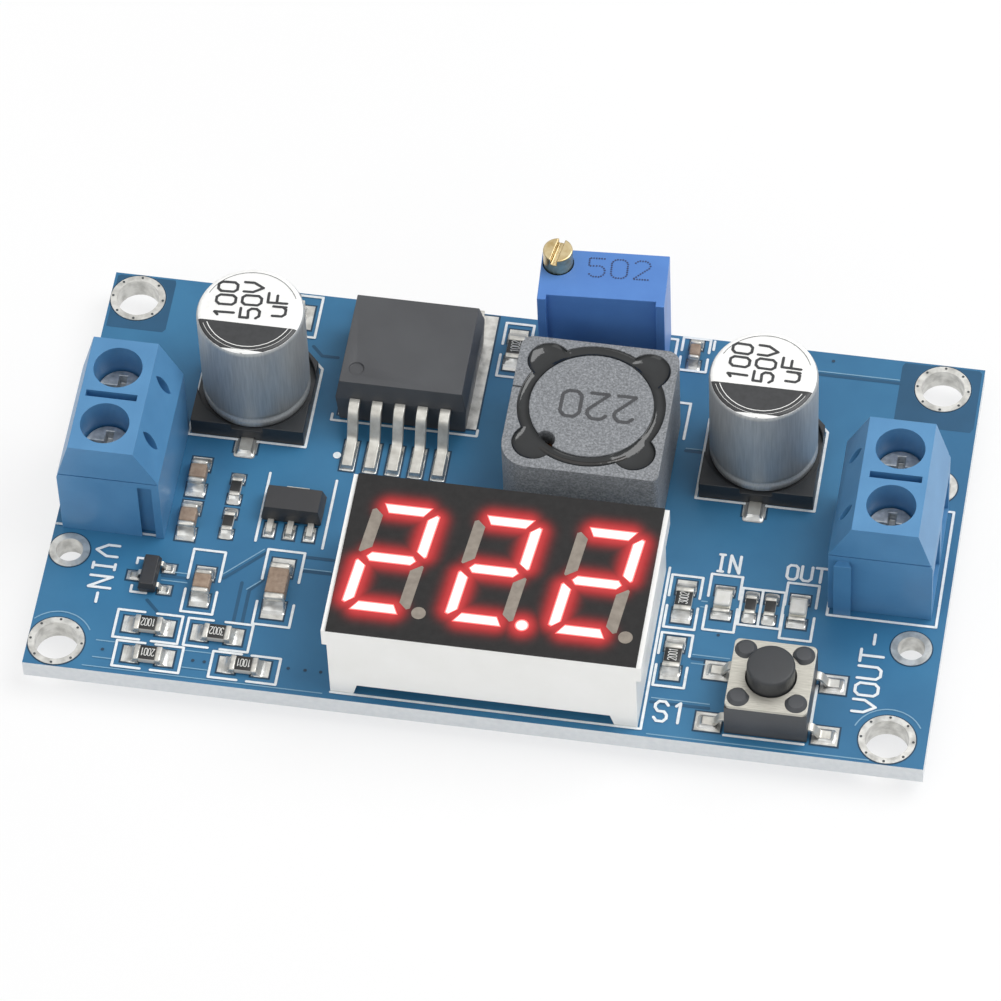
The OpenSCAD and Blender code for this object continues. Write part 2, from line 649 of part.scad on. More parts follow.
wind_r = core_d / 2 - 0.4;
wind_rows = floor(wind_h / wire_d);
// Winding as a bundle with one ridge for each row of wire
module inductor_winding() color("peru") on_board(ind + core_at, wind_z) rotate_extrude() polygon(concat(
    [[post_d / 2, 0]],
    [for (i = [0:wind_rows - 1]) each arc([wind_r - wire_d / 2, (i + 0.5) * wind_h / wind_rows],
        wire_d / 2, -80, 80, 4)],
    [[post_d / 2, wind_h]]));
module inductor_resin() color("darkslategray") on_board(ind, ind_h - flange_t)
    linear_extrude(flange_t - resin_drop) difference() {
        flower_2d();
        flange_2d();
    }
// Clips that wrap under the front and back edges
module inductor_terminals() color("silver") for (s = [-1, 1]) on_board(ind, pad_t, s * 90)
    translate([ind_w / 2 + ind_clip_t, 0, 0]) {
        translate([-ind_clip_in / 2, 0, 0]) block(ind_clip_in, ind_clip_w, ind_clip_t);
        translate([-ind_clip_t / 2, 0, 0]) block(ind_clip_t, ind_clip_w, ind_clip_up);
    }

// Trimmer -------------------------------------------------------------------

module at_trimmer(z = 0) on_board(trim, z, trim_turn) children();
module trimmer_housing() color("cornflowerblue") at_trimmer() difference() {
    translate([0, 0, trim_foot]) block(trim_l, trim_w, trim_h - trim_foot);
    // Recessed front between the side rims
    translate([0, -trim_w / 2, 0]) block(trim_l - 2 * trim_rim, 2 * trim_recess, trim_h + 1);
    // Cup for the resin seal
    block(trim_l - 2 * trim_rim, trim_w - 4 * trim_recess, trim_foot + trim_seal_t);
    translate([trim_screw_at[0], trim_screw_at[1], trim_h - trim_shaft_len - play])
        cylinder(d = trim_shaft_d + 2 * play, h = trim_h);
    translate([trim_screw_at[0], trim_screw_at[1], trim_h - trim_head_in - play])
        cylinder(d = trim_screw_d + 2 * play, h = trim_h);
}
module trimmer_screw() color("goldenrod") at_trimmer(trim_h) translate(trim_screw_at) difference() {
    union() {
        translate([0, 0, -trim_shaft_len]) cylinder(d = trim_shaft_d, h = trim_shaft_len);
        translate([0, 0, -trim_head_in]) cylinder(d = trim_screw_d, h = trim_head_in + trim_head_out);
    }
    translate([0, 0, trim_head_out - trim_slot[1]]) rotate(trim_slot_turn)
        block(trim_screw_d + 1, trim_slot[0], 1);
}
module trimmer_seal() color("tan") at_trimmer() difference() {
    translate([0, 0, trim_foot]) block(trim_l - 2 * trim_rim, trim_w - 4 * trim_recess, trim_seal_t);
    for (i = [-1:1]) translate([i * trim_pin_pitch, 0, -1]) cylinder(d = trim_pin_d, h = 4, $fn = 32);
}
module trimmer_pins() color("silver") for (p = trim_pin_at)
    translate([p[0], p[1], 0]) cylinder(d = trim_pin_d, h = top_z + trim_foot + trim_seal_t, $fn = 32);

// Display -------------------------------------------------------------------

// One bar of a digit about the digit's middle, before the slant: top a, upper right b,
// lower right c, bottom d, lower left e, upper left f, middle g
hx = digit_w / 2;
hy = digit_h / 2;
function bar(k) = let (s = seg_w, ax = hx - bar_a_in, gx = hx - bar_g_in,
    top = hy - bar_b_in[0], low = bar_b_in[1])
    k == "a" ? [[-ax, hy], [ax, hy], [ax - bar_slope[0], hy - s], [-ax + bar_slope[0], hy - s]] :
    k == "d" ? [for (p = bar("a")) [p[0], -p[1]]] :
    k == "g" ? [[-gx, 0], [-gx + bar_slope[1], s / 2], [gx - bar_slope[1], s / 2],
        [gx, 0], [gx - bar_slope[1], -s / 2], [-gx + bar_slope[1], -s / 2]] :
    k == "b" ? [[hx, top - s / 7], [hx, low + s / 7], [hx - s / 6, low], [hx - s, low + bar_slope[2]],
        [hx - s, top - bar_slope[2]], [hx - s / 3.5, top]] :
    k == "c" ? [for (p = bar("b")) [p[0], -p[1]]] :
    k == "f" ? [for (p = bar("b")) [-p[0], p[1]]] : [for (p = bar("c")) [-p[0], p[1]]];
function slanted(points) = [for (p = points) [p[0] + p[1] * tan(slant), p[1]]];
function digit_at(i) = disp + [(i - (digits - 1) / 2) * digit_pitch + digit_dx, digit_dy];
function is_in(k, word) = len(search(k, word)) > 0;
BARS = "abcdefg";

// Bars and points of the digits, lit or unlit
module segments_2d(lit) for (i = [0:digits - 1]) translate(digit_at(i)) {
    for (k = BARS) if (is_in(k, LIT) == lit) polygon(slanted(bar(k)));
    if (LIT_POINTS[i] == lit) translate(dot_at) circle(d = dot_d, $fn = 32);
}
module windows(z, h) translate([0, 0, top_z + z]) linear_extrude(h) {
    segments_2d(true);
    segments_2d(false);
}
seg_z = disp_h - window_depth;
disp_body_w = disp_w - 2 * disp_inset;
module display_housing() color("whitesmoke") difference() {
    on_board(disp) difference() {
        union() {
            block(disp_body_w, disp_d, disp_h - face_t);
            translate([0, 0, disp_h - disp_band]) block(disp_w, disp_d, disp_band - face_t);
        }
        // Open underside that takes the display's own board
        translate([0, 0, -1]) block(disp_body_w - 2 * disp_wall, disp_d - 2 * disp_wall,
            disp_board_z + disp_board_t + 1);
        // Gaps that leave a foot at each corner
        let (x = disp_body_w / 2 - disp_foot_w) across(disp_d + 1)
            polygon([[-x, -1], [x, -1], [x, 0], [x - disp_foot_slope, disp_foot_gap],
                [-x + disp_foot_slope, disp_foot_gap], [-x, 0]]);
    }
    windows(seg_z, window_depth);
}
module display_face() color("#3b3836") difference() {
    on_board(disp, disp_h - face_t) block(disp_w - 2 * disp_rim, disp_d, face_t);
    windows(seg_z, window_depth + 1);
}
module display_lit_segments() color("red") translate([0, 0, top_z + seg_z])
    linear_extrude(window_depth) segments_2d(true);
module display_unlit_segments() color("tan") translate([0, 0, top_z + seg_z])
    linear_extrude(window_depth) segments_2d(false);
module display_board() color("beige") difference() {
    on_board(disp, disp_board_z) block(disp_body_w - 2 * disp_wall, disp_d - 2 * disp_wall, disp_board_t);
    display_pins();
}
module display_pins() color("silver") for (p = disp_pin_at)
    translate([p[0], p[1], 0]) cylinder(d = disp_pin_d, h = top_z + disp_board_z + disp_board_t, $fn = 32);

// Push button ---------------------------------------------------------------

flange_z = sw_h - sw_cover_t - play - flange_h;
dome_z = flange_z - dome_h;
module switch_base() color("#2b2b2c") on_board(sw) difference() {
    union() {
        translate([0, 0, pad_t]) block(sw_w, sw_w, sw_h - sw_cover_t - pad_t);
        // Posts that rivet the cover down
        for (x = [-1, 1], y = [-1, 1]) translate([x * sw_post_at, y * sw_post_at, 1]) {
            cylinder(d = sw_post_d - sw_post_lip, h = sw_h - 1, $fn = 32);
            translate([0, 0, sw_h - 1])
                cylinder(d1 = sw_post_d, d2 = sw_post_d - sw_post_lip, h = sw_post_h, $fn = 32);
        }
    }
    translate([0, 0, dome_z]) cylinder(d = flange_d + 4 * play, h = sw_h);
}
module switch_cover() color("silver") on_board(sw, sw_h - sw_cover_t) difference() {
    linear_extrude(sw_cover_t) polygon(rounded_rect(sw_w, sw_w, [0.4, 0.4, 0.4, 0.4]));
    translate([0, 0, -1]) cylinder(d = plunger_d + 4 * play, h = 3);
    for (x = [-1, 1], y = [-1, 1]) translate([x * sw_post_at, y * sw_post_at, -1])
        cylinder(d = sw_post_d - sw_post_lip, h = 3, $fn = 32);
}
module switch_plunger() color("#3b3b3c") on_board(sw, flange_z) {
    cylinder(d = flange_d, h = flange_h);
    rotate_extrude() let (r = plunger_d / 2, h = plunger_h - flange_z, e = 0.2)
        polygon(concat([[0, 0], [r, 0]], arc([r - e, h - e], e, 0, 90, 4), [[0, h]]));
}
// Snap disc: a thin cap of a sphere whose rim stands in the pocket
dome_r = flange_d / 2;
dome_rise = dome_h - dome_t;
ball_r = (dome_r * dome_r + dome_rise * dome_rise) / (2 * dome_rise);
dome_a = asin(dome_r / ball_r);
module switch_dome() color("silver") on_board(sw, dome_z) rotate_extrude() polygon(concat(
    arc([0, dome_h - ball_r], ball_r, 90 - dome_a, 90, 10),
    [for (i = [10:-1:0]) let (a = 90 - dome_a + dome_a * i / 10)
        [0, dome_h - ball_r] + (ball_r - dome_t) * [cos(a), sin(a)]]));
module switch_terminals() color("silver") for (x = [-1, 1], y = [-1, 1])
    on_board(sw + [x * sw_w / 2, y * sw_leg_y], pad_t, x > 0 ? 0 : 180)
        gull(sw_leg_out, sw_leg_z, sw_leg_foot, sw_leg_w, sw_leg_t);

// Small packages ------------------------------------------------------------

module diode_body() color("#333333") on_board(dio, pad_t + dio_lead_t)
    moulded(dio_size[0], dio_size[1], dio_size[2] - dio_lead_t, dio_size[2] / 2 - dio_lead_t, 0.3);
// Leads folded down the ends and under the body
module diode_leads() color("silver") for (s = [-1, 1])
    on_board(dio + [s * dio_size[0] / 2, 0], pad_t, s > 0 ? 0 : 180) across(dio_lead_w)
        polygon(strip([[0, dio_size[2] / 2], [0.3, dio_size[2] / 2], [0.3, dio_lead_t / 2],
            [-1, dio_lead_t / 2]], dio_lead_t));

module transistor_body() color("#3c3a3a") on_board(tran, pad_t + 0.05)
    moulded(tran_size[0], tran_size[1], tran_size[2], 0.5, 0.15);
module transistor_leads() color("silver") {
    on_board(tran - [tran_size[0] / 2, 0], pad_t, 180) gull(0.75, 0.55, 0.4, 0.42, 0.12);
    for (s = [-1, 1]) on_board(tran + [tran_size[0] / 2, s * tran_pitch / 2], pad_t)
        gull(0.75, 0.55, 0.4, 0.42, 0.12);
}

module reference_body() color("#333333") difference() {
    on_board(ref, pad_t) moulded(ref_size[0], ref_size[1], ref_size[2], 0.4, 0.25);
    reference_leads();
}
module reference_leads() color("silver") {
    for (i = [-1:1]) on_board(ref + [i * ref_pitch, -ref_size[1] / 2 - 0.5], pad_t) block(0.45, 1.3, 0.4);
    on_board(ref + [0, ref_size[1] / 2], pad_t) block(1.7, 1.2, 0.4);
}

module controller_body() color("#2e2e30") translate([ctl[0], ctl[1], board_z]) mirror([0, 0, 1])
    translate([0, 0, 0.1]) moulded(ctl_size[0], ctl_size[1], ctl_size[2], 0.45, 0.12);
module controller_leads() color("silver") translate([ctl[0], ctl[1], board_z]) mirror([0, 0, 1])
    for (s = [-1, 1], i = [0:ctl_legs - 1])
        translate([(i - (ctl_legs - 1) / 2) * ctl_pitch, s * ctl_size[1] / 2, 0]) rotate([0, 0, s * 90])
            gull(1, 0.5, 0.5, 0.25, 0.12);

// Chip parts ----------------------------------------------------------------

module chip_middle(s) block(s[0] - 2 * s[3], s[1], s[2]);
module chip_ends(s) for (e = [-1, 1]) translate([e * (s[0] / 2 - s[3] / 2), 0, 0]) block(s[3], s[1], s[2]);
module resistor_bodies() color("#36322f") for (c = RESISTORS) on_board(lay(c), pad_t, c[2]) chip_middle(c[3]);
module resistor_ends() color("silver") for (c = RESISTORS) on_board(lay(c), pad_t, c[2]) chip_ends(c[3]);
module ceramic_capacitor_bodies() color("#b0907a")
    for (c = CERAMICS) on_board(lay(c), pad_t, c[2]) chip_middle(c[3]);
module ceramic_capacitor_ends() color("silver")
    for (c = CERAMICS) on_board(lay(c), pad_t, c[2]) chip_ends(c[3]);
lens_h = 0.4;
module led_bodies() color("ivory") for (c = LEDS) on_board(lay(c), pad_t, c[2]) chip_middle(c[3]);
module led_ends() color("gold") for (c = LEDS) on_board(lay(c), pad_t, c[2]) chip_ends(c[3]);
module led_lenses() color("lightyellow") for (c = LEDS) on_board(lay(c), pad_t + c[3][2], c[2])
    moulded(c[3][0] - 2 * c[3][3], c[3][1], lens_h, 0.05, 0.12);

circuit_board();
plated_holes();
solder_pads();
solder_joints();
input_terminal_housing();
output_terminal_housing();
input_wire_clamps();
output_wire_clamps();
input_screw_front();
input_screw_back();
output_screw_front();
output_screw_back();
input_guard_front();
input_guard_back();
output_guard_front();
output_guard_back();
input_capacitor_base();
input_capacitor_can();
output_capacitor_base();
output_capacitor_can();
capacitor_leads();
regulator_body();
regulator_tab();
regulator_leads();
inductor_shield();
inductor_core();
inductor_winding();
inductor_resin();
inductor_terminals();
trimmer_housing();
trimmer_screw();
trimmer_seal();
trimmer_pins();
display_housing();
display_face();
display_lit_segments();
display_unlit_segments();
display_board();
display_pins();
switch_base();
switch_cover();
switch_plunger();
switch_dome();
switch_terminals();
diode_body();
diode_leads();
transistor_body();
transistor_leads();
reference_body();
reference_leads();
resistor_bodies();
resistor_ends();
ceramic_capacitor_bodies();
ceramic_capacitor_ends();
led_bodies();
led_lenses();
led_ends();
controller_body();
controller_leads();
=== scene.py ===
"""Looks of a buck converter module with a voltage display, laid out as a Blender add-on.

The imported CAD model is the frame: each piece here takes its place from the boxes of the CAD
nodes and rides on a CAD body. Sizes in this file are millimetres, unless a property says
otherwise, and the builder of meshes turns them into metres.
"""

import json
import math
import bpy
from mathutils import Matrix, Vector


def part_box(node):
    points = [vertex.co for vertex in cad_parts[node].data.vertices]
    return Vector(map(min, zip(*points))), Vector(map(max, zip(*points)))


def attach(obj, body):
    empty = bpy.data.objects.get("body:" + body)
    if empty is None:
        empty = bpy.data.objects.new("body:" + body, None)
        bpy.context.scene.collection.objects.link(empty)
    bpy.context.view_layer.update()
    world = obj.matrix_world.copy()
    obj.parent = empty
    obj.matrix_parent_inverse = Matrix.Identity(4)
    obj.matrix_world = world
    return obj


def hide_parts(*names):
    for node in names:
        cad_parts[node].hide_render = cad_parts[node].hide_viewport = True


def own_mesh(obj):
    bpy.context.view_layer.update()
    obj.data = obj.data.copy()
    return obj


bl_info = {
    "name": "Buck converter module looks",
    "version": (1, 0, 0),
    "blender": (4, 5, 0),
    "location": "3D View > Sidebar > Converter",
    "description": "Materials, print, solder and glowing digits for a buck converter module",
    "category": "Object",
}

import bmesh
import bpy
import numpy as np
from bpy.props import FloatProperty, PointerProperty, StringProperty

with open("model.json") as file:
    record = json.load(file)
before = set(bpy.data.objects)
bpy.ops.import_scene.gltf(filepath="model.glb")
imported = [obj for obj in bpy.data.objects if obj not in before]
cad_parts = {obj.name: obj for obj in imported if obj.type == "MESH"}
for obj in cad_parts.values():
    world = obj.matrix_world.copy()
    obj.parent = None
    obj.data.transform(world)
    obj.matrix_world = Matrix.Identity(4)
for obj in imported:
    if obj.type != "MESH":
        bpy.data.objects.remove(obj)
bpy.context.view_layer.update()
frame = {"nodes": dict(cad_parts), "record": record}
NODES = frame["nodes"]
BODY_OF = {n: b for b, ns in frame["record"]["behaviour"]["bodies"].items() for n in ns}
MM = 0.001


# Reading the frame -----------------------------------------------------------

def box(node):
    """Lowest and highest corner of a CAD node in millimetres, as a 2 x 3 array."""
    return np.array([list(c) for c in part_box(node)]) / MM


def centre(node):
    """Middle of a CAD node's box in millimetres."""
    return box(node).mean(0)


def solids(node):
    """Boxes of the separate solids of a CAD node in millimetres, as an n x 2 x 3 array.

    Corners that coincide are joined. Each then takes the lowest label found on its triangles,
    over and over, until every solid has a single label.
    """
    mesh = NODES[node].data
    corners = np.empty(len(mesh.vertices) * 3, np.float32)
    mesh.vertices.foreach_get("co", corners)
    corners = corners.reshape(-1, 3)
    mesh.calc_loop_triangles()
    triangles = np.empty(len(mesh.loop_triangles) * 3, np.int32)
    mesh.loop_triangles.foreach_get("vertices", triangles)
    places = np.round(corners / 2e-6).astype(np.int64)
    same = np.unique(places, axis=0, return_inverse=True)[1].ravel()
    triangles = same[triangles].reshape(-1, 3)
    label, before = np.arange(same.max() + 1), None
    while before is None or (label != before).any():
        before = label.copy()
        np.minimum.at(label, triangles.ravel(), label[triangles].min(1).repeat(3))
        label = label[label]
    groups = label[same]
    return np.array([[corners[groups == g].min(0), corners[groups == g].max(0)]
                     for g in np.unique(groups)]) / MM


TOP = box("circuit_board")[1, 2]


# Surfaces --------------------------------------------------------------------

def turned(points, degrees, at=(0, 0)):
    """Points turned about Z by that angle, then moved by at in X and Y."""
    a = math.radians(degrees)
    out = np.array(points, float)
    out[..., :2] = out[..., :2] @ np.array([[math.cos(a), math.sin(a)],
                                            [-math.sin(a), math.cos(a)]]) + np.asarray(at[:2])
    return out


def grid(points, wrap=False):
    """A surface through an n x m array of points; wrap joins the last column to the first."""
    n, m = points.shape[:2]
    i = np.arange(n - 1)[:, None]
    j = np.arange(m if wrap else m - 1)[None, :]
    k = (j + 1) % m
    quads = np.stack(np.broadcast_arrays(i * m + j, i * m + k, (i + 1) * m + k, (i + 1) * m + j), -1)
    return points.reshape(-1, 3), quads.reshape(-1, 4)


def quarters(k):
    """Angles round a circle with each quarter's ends doubled, and the signs of their quarter."""
    angle = np.concatenate([np.linspace(q, q + 1, k + 1) for q in range(4)]) * math.pi / 2
    return angle, np.repeat([1, -1, -1, 1], k + 1), np.repeat([1, 1, -1, -1], k + 1)


def outline(half_x, half_y, radius, k=4):
    """Rounded rectangle about the origin: a circle whose quarters are pushed to the corners."""
    angle, sx, sy = quarters(k)
    r = min(radius, half_x, half_y)
    return np.stack([sx * (half_x - r) + r * np.cos(angle), sy * (half_y - r) + r * np.sin(angle)], -1)


def soft_box(low, high, radius, k=3, turn=0):
    """Box with round edges: a sphere's grid whose octants are pushed apart to the corners.

    The two poles are closed by one more row that lies at the middle of the end face.
    """
    low, high = np.asarray(low, float), np.asarray(high, float)
    half, middle = (high - low) / 2, (high + low) / 2
    r = min(radius, *half)
    angle, sx, sy = quarters(k)
    rise = np.concatenate([np.linspace(-1, 0, k + 1), np.linspace(0, 1, k + 1)]) * math.pi / 2
    sz = np.repeat([-1, 1], k + 1)
    ball = np.stack(np.broadcast_arrays(np.cos(rise)[:, None] * np.cos(angle),
                                        np.cos(rise)[:, None] * np.sin(angle),
                                        np.sin(rise)[:, None]), -1)
    push = np.stack(np.broadcast_arrays(sx[None, :], sy[None, :], sz[:, None]), -1) * (half - r)
    rows = ball * r + push
    end = np.zeros((1, len(angle), 3))
    rows = np.concatenate([end - [0, 0, half[2]], rows, end + [0, 0, half[2]]])
    return grid(turned(rows, turn, middle) + [0, 0, middle[2]], wrap=True)


def lathe(profile, at=(0, 0, 0), n=48):
    """A profile of (radius, height) points turned about the upright axis through at."""
    profile = np.asarray(profile, float)
    a = np.arange(n) * 2 * math.pi / n
    return grid(np.stack(np.broadcast_arrays(
        at[0] + profile[:, :1] * np.cos(a), at[1] + profile[:, :1] * np.sin(a),
        at[2] + profile[:, 1:]), -1), wrap=True)


def tube(path, radius, n=10):
    """A round profile carried along a path. Its frame is each point's direction crossed with
    up, and a last ring of no radius closes each end."""
    path = np.asarray(path, float)
    along = np.gradient(path, axis=0)
    along /= np.linalg.norm(along, axis=1, keepdims=True)
    side = np.cross(along, [0, 0, 1.0])
    side /= np.linalg.norm(side, axis=1, keepdims=True)
    up = np.cross(side, along)
    a = np.arange(n) * 2 * math.pi / n
    ring = side[:, None] * np.cos(a)[None, :, None] + up[:, None] * np.sin(a)[None, :, None]
    rows = path[:, None] + ring * radius
    ends = [np.repeat(path[e][None, None], n, 1) for e in (0, -1)]
    return grid(np.concatenate([ends[0], rows, ends[1]])[::-1], wrap=True)


def capsules(starts, ends, width, z, k=6):
    """Flat strokes with round ends, one many-cornered face for each segment, looking up. The
    height z is one number or one for each."""
    starts, ends = np.asarray(starts, float), np.asarray(ends, float)
    way = ends - starts
    length = np.linalg.norm(way, axis=1, keepdims=True)
    way = np.where(length > 1e-6, way / np.maximum(length, 1e-6), [1.0, 0.0])
    across = np.stack([-way[:, 1], way[:, 0]], 1)
    a = np.linspace(-0.5, 0.5, k + 1) * math.pi
    cap = np.cos(a)[None, :, None] * way[:, None] + np.sin(a)[None, :, None] * across[:, None]
    flat = np.concatenate([ends[:, None] + cap * width / 2, starts[:, None] - cap * width / 2], 1)
    level = np.broadcast_to(np.reshape(z, (-1, 1, 1)), flat.shape[:2] + (1,))
    points = np.concatenate([flat, level], 2)
    count = points.shape[1]
    return points.reshape(-1, 3), np.arange(len(points) * count).reshape(-1, count)


def mound(low, high, less, more, rise, z, out=None, k=4, rows=6, power=2.2):
    """Concave solder round a foot: rounded rectangles that widen from the foot, low to high, to
    the pad's edge, low - less to high + more, while the height falls from rise to nothing as a
    power of the way left. With out, a direction, it climbs there and stays low elsewhere."""
    low, high = np.asarray(low[:2], float), np.asarray(high[:2], float)
    far_low, far_high = low - less, high + more
    near = outline(*((high - low) / 2), 0.02, k) + (low + high) / 2
    far = outline(*((far_high - far_low) / 2), 0.25, k) + (far_low + far_high) / 2
    t = np.linspace(0, 1, rows)[:, None]
    flat = near[None] * (1 - t[..., None]) + far[None] * t[..., None]
    facing = np.ones(len(near))
    if out is not None:
        way = far - (low + high) / 2
        way /= np.linalg.norm(way, axis=1, keepdims=True)
        facing = 0.45 + 0.55 * np.clip(way @ np.asarray(out[:2], float), 0, 1) ** 1.5
    height = z + rise * facing[None] * (1 - t) ** power
    return grid(np.concatenate([flat, height[..., None]], 2)[::-1], wrap=True)


# Objects ---------------------------------------------------------------------

def piece(name, parts, finish, body="root", replaces=(), crease=35, closed=True, glow=None):
    """One object from parts, each a pair of corners and faces. Corners that coincide are
    joined, and the faces of closed parts are turned outwards. glow is a number per corner."""
    corners = np.concatenate([p[0] for p in parts])
    starts = np.cumsum([0] + [len(p[0]) for p in parts[:-1]])
    faces = [p[1] + s for p, s in zip(parts, starts)]
    sizes = np.concatenate([np.full(len(f), f.shape[1]) for f in faces])
    mesh = bpy.data.meshes.new(name)
    mesh.vertices.add(len(corners))
    mesh.vertices.foreach_set("co", (corners * MM).astype(np.float32).ravel())
    mesh.loops.add(int(sizes.sum()))
    mesh.loops.foreach_set("vertex_index", np.concatenate([f.ravel() for f in faces]).astype(np.int32))
    mesh.polygons.add(len(sizes))
    mesh.polygons.foreach_set("loop_start", np.concatenate([[0], np.cumsum(sizes)[:-1]]).astype(np.int32))
    mesh.update(calc_edges=True)
    if glow is not None:
        levels = mesh.attributes.new("glow", "FLOAT", "POINT").data
        levels.foreach_set("value", glow.astype(np.float32).ravel())
    made = bmesh.new()
    made.from_mesh(mesh)
    bmesh.ops.remove_doubles(made, verts=made.verts, dist=1e-7)
    bmesh.ops.dissolve_degenerate(made, edges=made.edges, dist=1e-7)
    if closed:
        bmesh.ops.recalc_face_normals(made, faces=made.faces)
    made.to_mesh(mesh)
    made.free()
    mesh.validate()
    return shown(name, mesh, finish, body, replaces, crease)


def shown(name, mesh, finish, body, replaces, crease):
    """Links a mesh as an object of the module, with its shading, material and body; the CAD nodes it replaces
    are hidden.
    """
    mesh.polygons.foreach_set("use_smooth", np.ones(len(mesh.polygons), bool))
    mesh.set_sharp_from_angle(angle=math.radians(crease))
    mesh.materials.clear()
    mesh.materials.append(finish)
    made = bpy.data.objects.new(name, mesh)
    bpy.context.scene.collection.objects.link(made)
    if replaces:
        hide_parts(*replaces)
    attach(made, body)
    return made


def rounded(node, finish, width, segments=3, angle=35):
    """A copy of a CAD node with its coincident corners joined, flat faces made whole and its
    edges rounded, which stands for the node."""
    mesh = NODES[node].data.copy()
    made = bmesh.new()
    made.from_mesh(mesh)
    bmesh.ops.remove_doubles(made, verts=made.verts, dist=2e-6)
    bmesh.ops.dissolve_limit(made, angle_limit=math.radians(0.6), verts=made.verts, edges=made.edges)
    made.to_mesh(mesh)
    made.free()
    copy = shown(node + "_rounded", mesh, finish, BODY_OF[node], [node], angle)
    edge = copy.modifiers.new("edges", "BEVEL")
    edge.width = width * MM
    edge.segments = segments
    edge.limit_method = "ANGLE"
    edge.angle_limit = math.radians(angle)
    edge.harden_normals = True
    return copy


def coat(finish, *nodes):
    """Gives CAD nodes their material and leaves their meshes alone."""
    for node in nodes:
        NODES[node].data.materials.clear()
        NODES[node].data.materials.append(finish)


# Lettering -------------------------------------------------------------------

# Strokes of each character on a field 4 wide and 6 high
STROKES = {
    "0": [[(0, 1), (0, 5), (1, 6), (3, 6), (4, 5), (4, 1), (3, 0), (1, 0), (0, 1)]],
    "1": [[(1, 5), (2.2, 6), (2.2, 0)]],
    "2": [[(0, 5), (1, 6), (3, 6), (4, 5), (4, 4), (0, 0), (4, 0)]],
    "3": [[(0, 6), (4, 6), (2, 3.6), (4, 2.4), (4, 1), (3, 0), (1, 0), (0, 1)]],
    "4": [[(3, 0), (3, 6), (0, 2), (4, 2)]],
    "5": [[(4, 6), (0, 6), (0, 3.4), (3, 3.6), (4, 2.6), (4, 1), (3, 0), (1, 0), (0, 1)]],
    "6": [[(4, 5), (3, 6), (1, 6), (0, 5), (0, 1), (1, 0), (3, 0), (4, 1), (4, 2.6), (3, 3.4), (0, 3)]],
    "8": [[(1, 3), (0, 4), (0, 5), (1, 6), (3, 6), (4, 5), (4, 4), (3, 3), (1, 3), (0, 2), (0, 1),
           (1, 0), (3, 0), (4, 1), (4, 2), (3, 3)]],
    "F": [[(0, 0), (0, 6), (4, 6)], [(0, 3.2), (3.2, 3.2)]],
    "I": [[(2, 0), (2, 6)], [(1, 0), (3, 0)], [(1, 6), (3, 6)]],
    "N": [[(0, 0), (0, 6), (4, 0), (4, 6)]],
    "O": [[(0, 1), (0, 5), (1, 6), (3, 6), (4, 5), (4, 1), (3, 0), (1, 0), (0, 1)]],
    "S": [[(4, 5), (3, 6), (1, 6), (0, 5), (0, 4), (1, 3), (3, 3), (4, 2), (4, 1), (3, 0), (1, 0), (0, 1)]],
    "T": [[(0, 6), (4, 6)], [(2, 6), (2, 0)]],
    "U": [[(0, 6), (0, 1), (1, 0), (3, 0), (4, 1), (4, 6)]],
    "u": [[(0, 4), (0, 1), (1, 0), (3, 0), (4, 1), (4, 4)], [(4, 1), (4, 0)]],
    "V": [[(0, 6), (0, 3), (2, 0), (4, 3), (4, 6)]],
    "-": [[(0.4, 3), (3.6, 3)]],
}
ADVANCE = 5.6


def word(text, at, height, turn=0, squeeze=1.0):
    """Segments of a word's strokes, centred on at and turned: an n x 2 x 2 array."""
    pairs = [np.stack([np.array(line[:-1], float), np.array(line[1:], float)], 1) + [ADVANCE * i, 0]
             for i, letter in enumerate(text) for line in STROKES.get(letter, [])]
    segments = np.concatenate(pairs) - [(ADVANCE * len(text) - ADVANCE + 4) / 2, 3]
    return turned(segments * [squeeze * height / 6, height / 6], turn, at)


def lines(*routes):
    """Segments of open routes, each a list of points: an n x 2 x 2 array."""
    return np.concatenate([np.stack([np.array(r[:-1], float), np.array(r[1:], float)], 1) for r in routes])


def own_planes(n):
    """Heights within 0.02 mm, each a golden fraction of that from the one before, so that marks
    that cross don't share a plane."""
    return 0.02 * np.modf(np.arange(n) * 0.618)[0]


def printed(segments, width, z):
    """Strokes of that width over segments, just above z."""
    return capsules(segments[:, 0], segments[:, 1], width, z + own_planes(len(segments)))


def dotted(segments, spacing):
    """Places along segments about that far apart, for marks made dot by dot."""
    length = np.linalg.norm(segments[:, 1] - segments[:, 0], axis=1)
    count = np.maximum(1, np.round(length / spacing)).astype(int)
    which = np.repeat(np.arange(len(segments)), count)
    step = np.arange(count.sum()) - np.repeat(np.cumsum(count) - count, count)
    t = ((step + 0.5) / count[which])[:, None]
    return segments[which, 0] * (1 - t) + segments[which, 1] * t


def discs(places, diameter, z, k=12):
    """Flat round dots at those places."""
    places = np.atleast_2d(np.asarray(places, float))
    return capsules(places, places, diameter, z, k)


def dotted_word(text, at, height, turn, squeeze, diameter, z):
    """A word made dot by dot, 0.2 mm apart, just above z."""
    places = dotted(word(text, at, height, turn, squeeze), 0.2)
    return discs(places, diameter, z + own_planes(len(places)), 5)


def main_way(way):
    """The axis direction, with its sign, that a level direction lies nearest to."""
    return np.sign(way) * (np.abs(way) == np.abs(way).max())


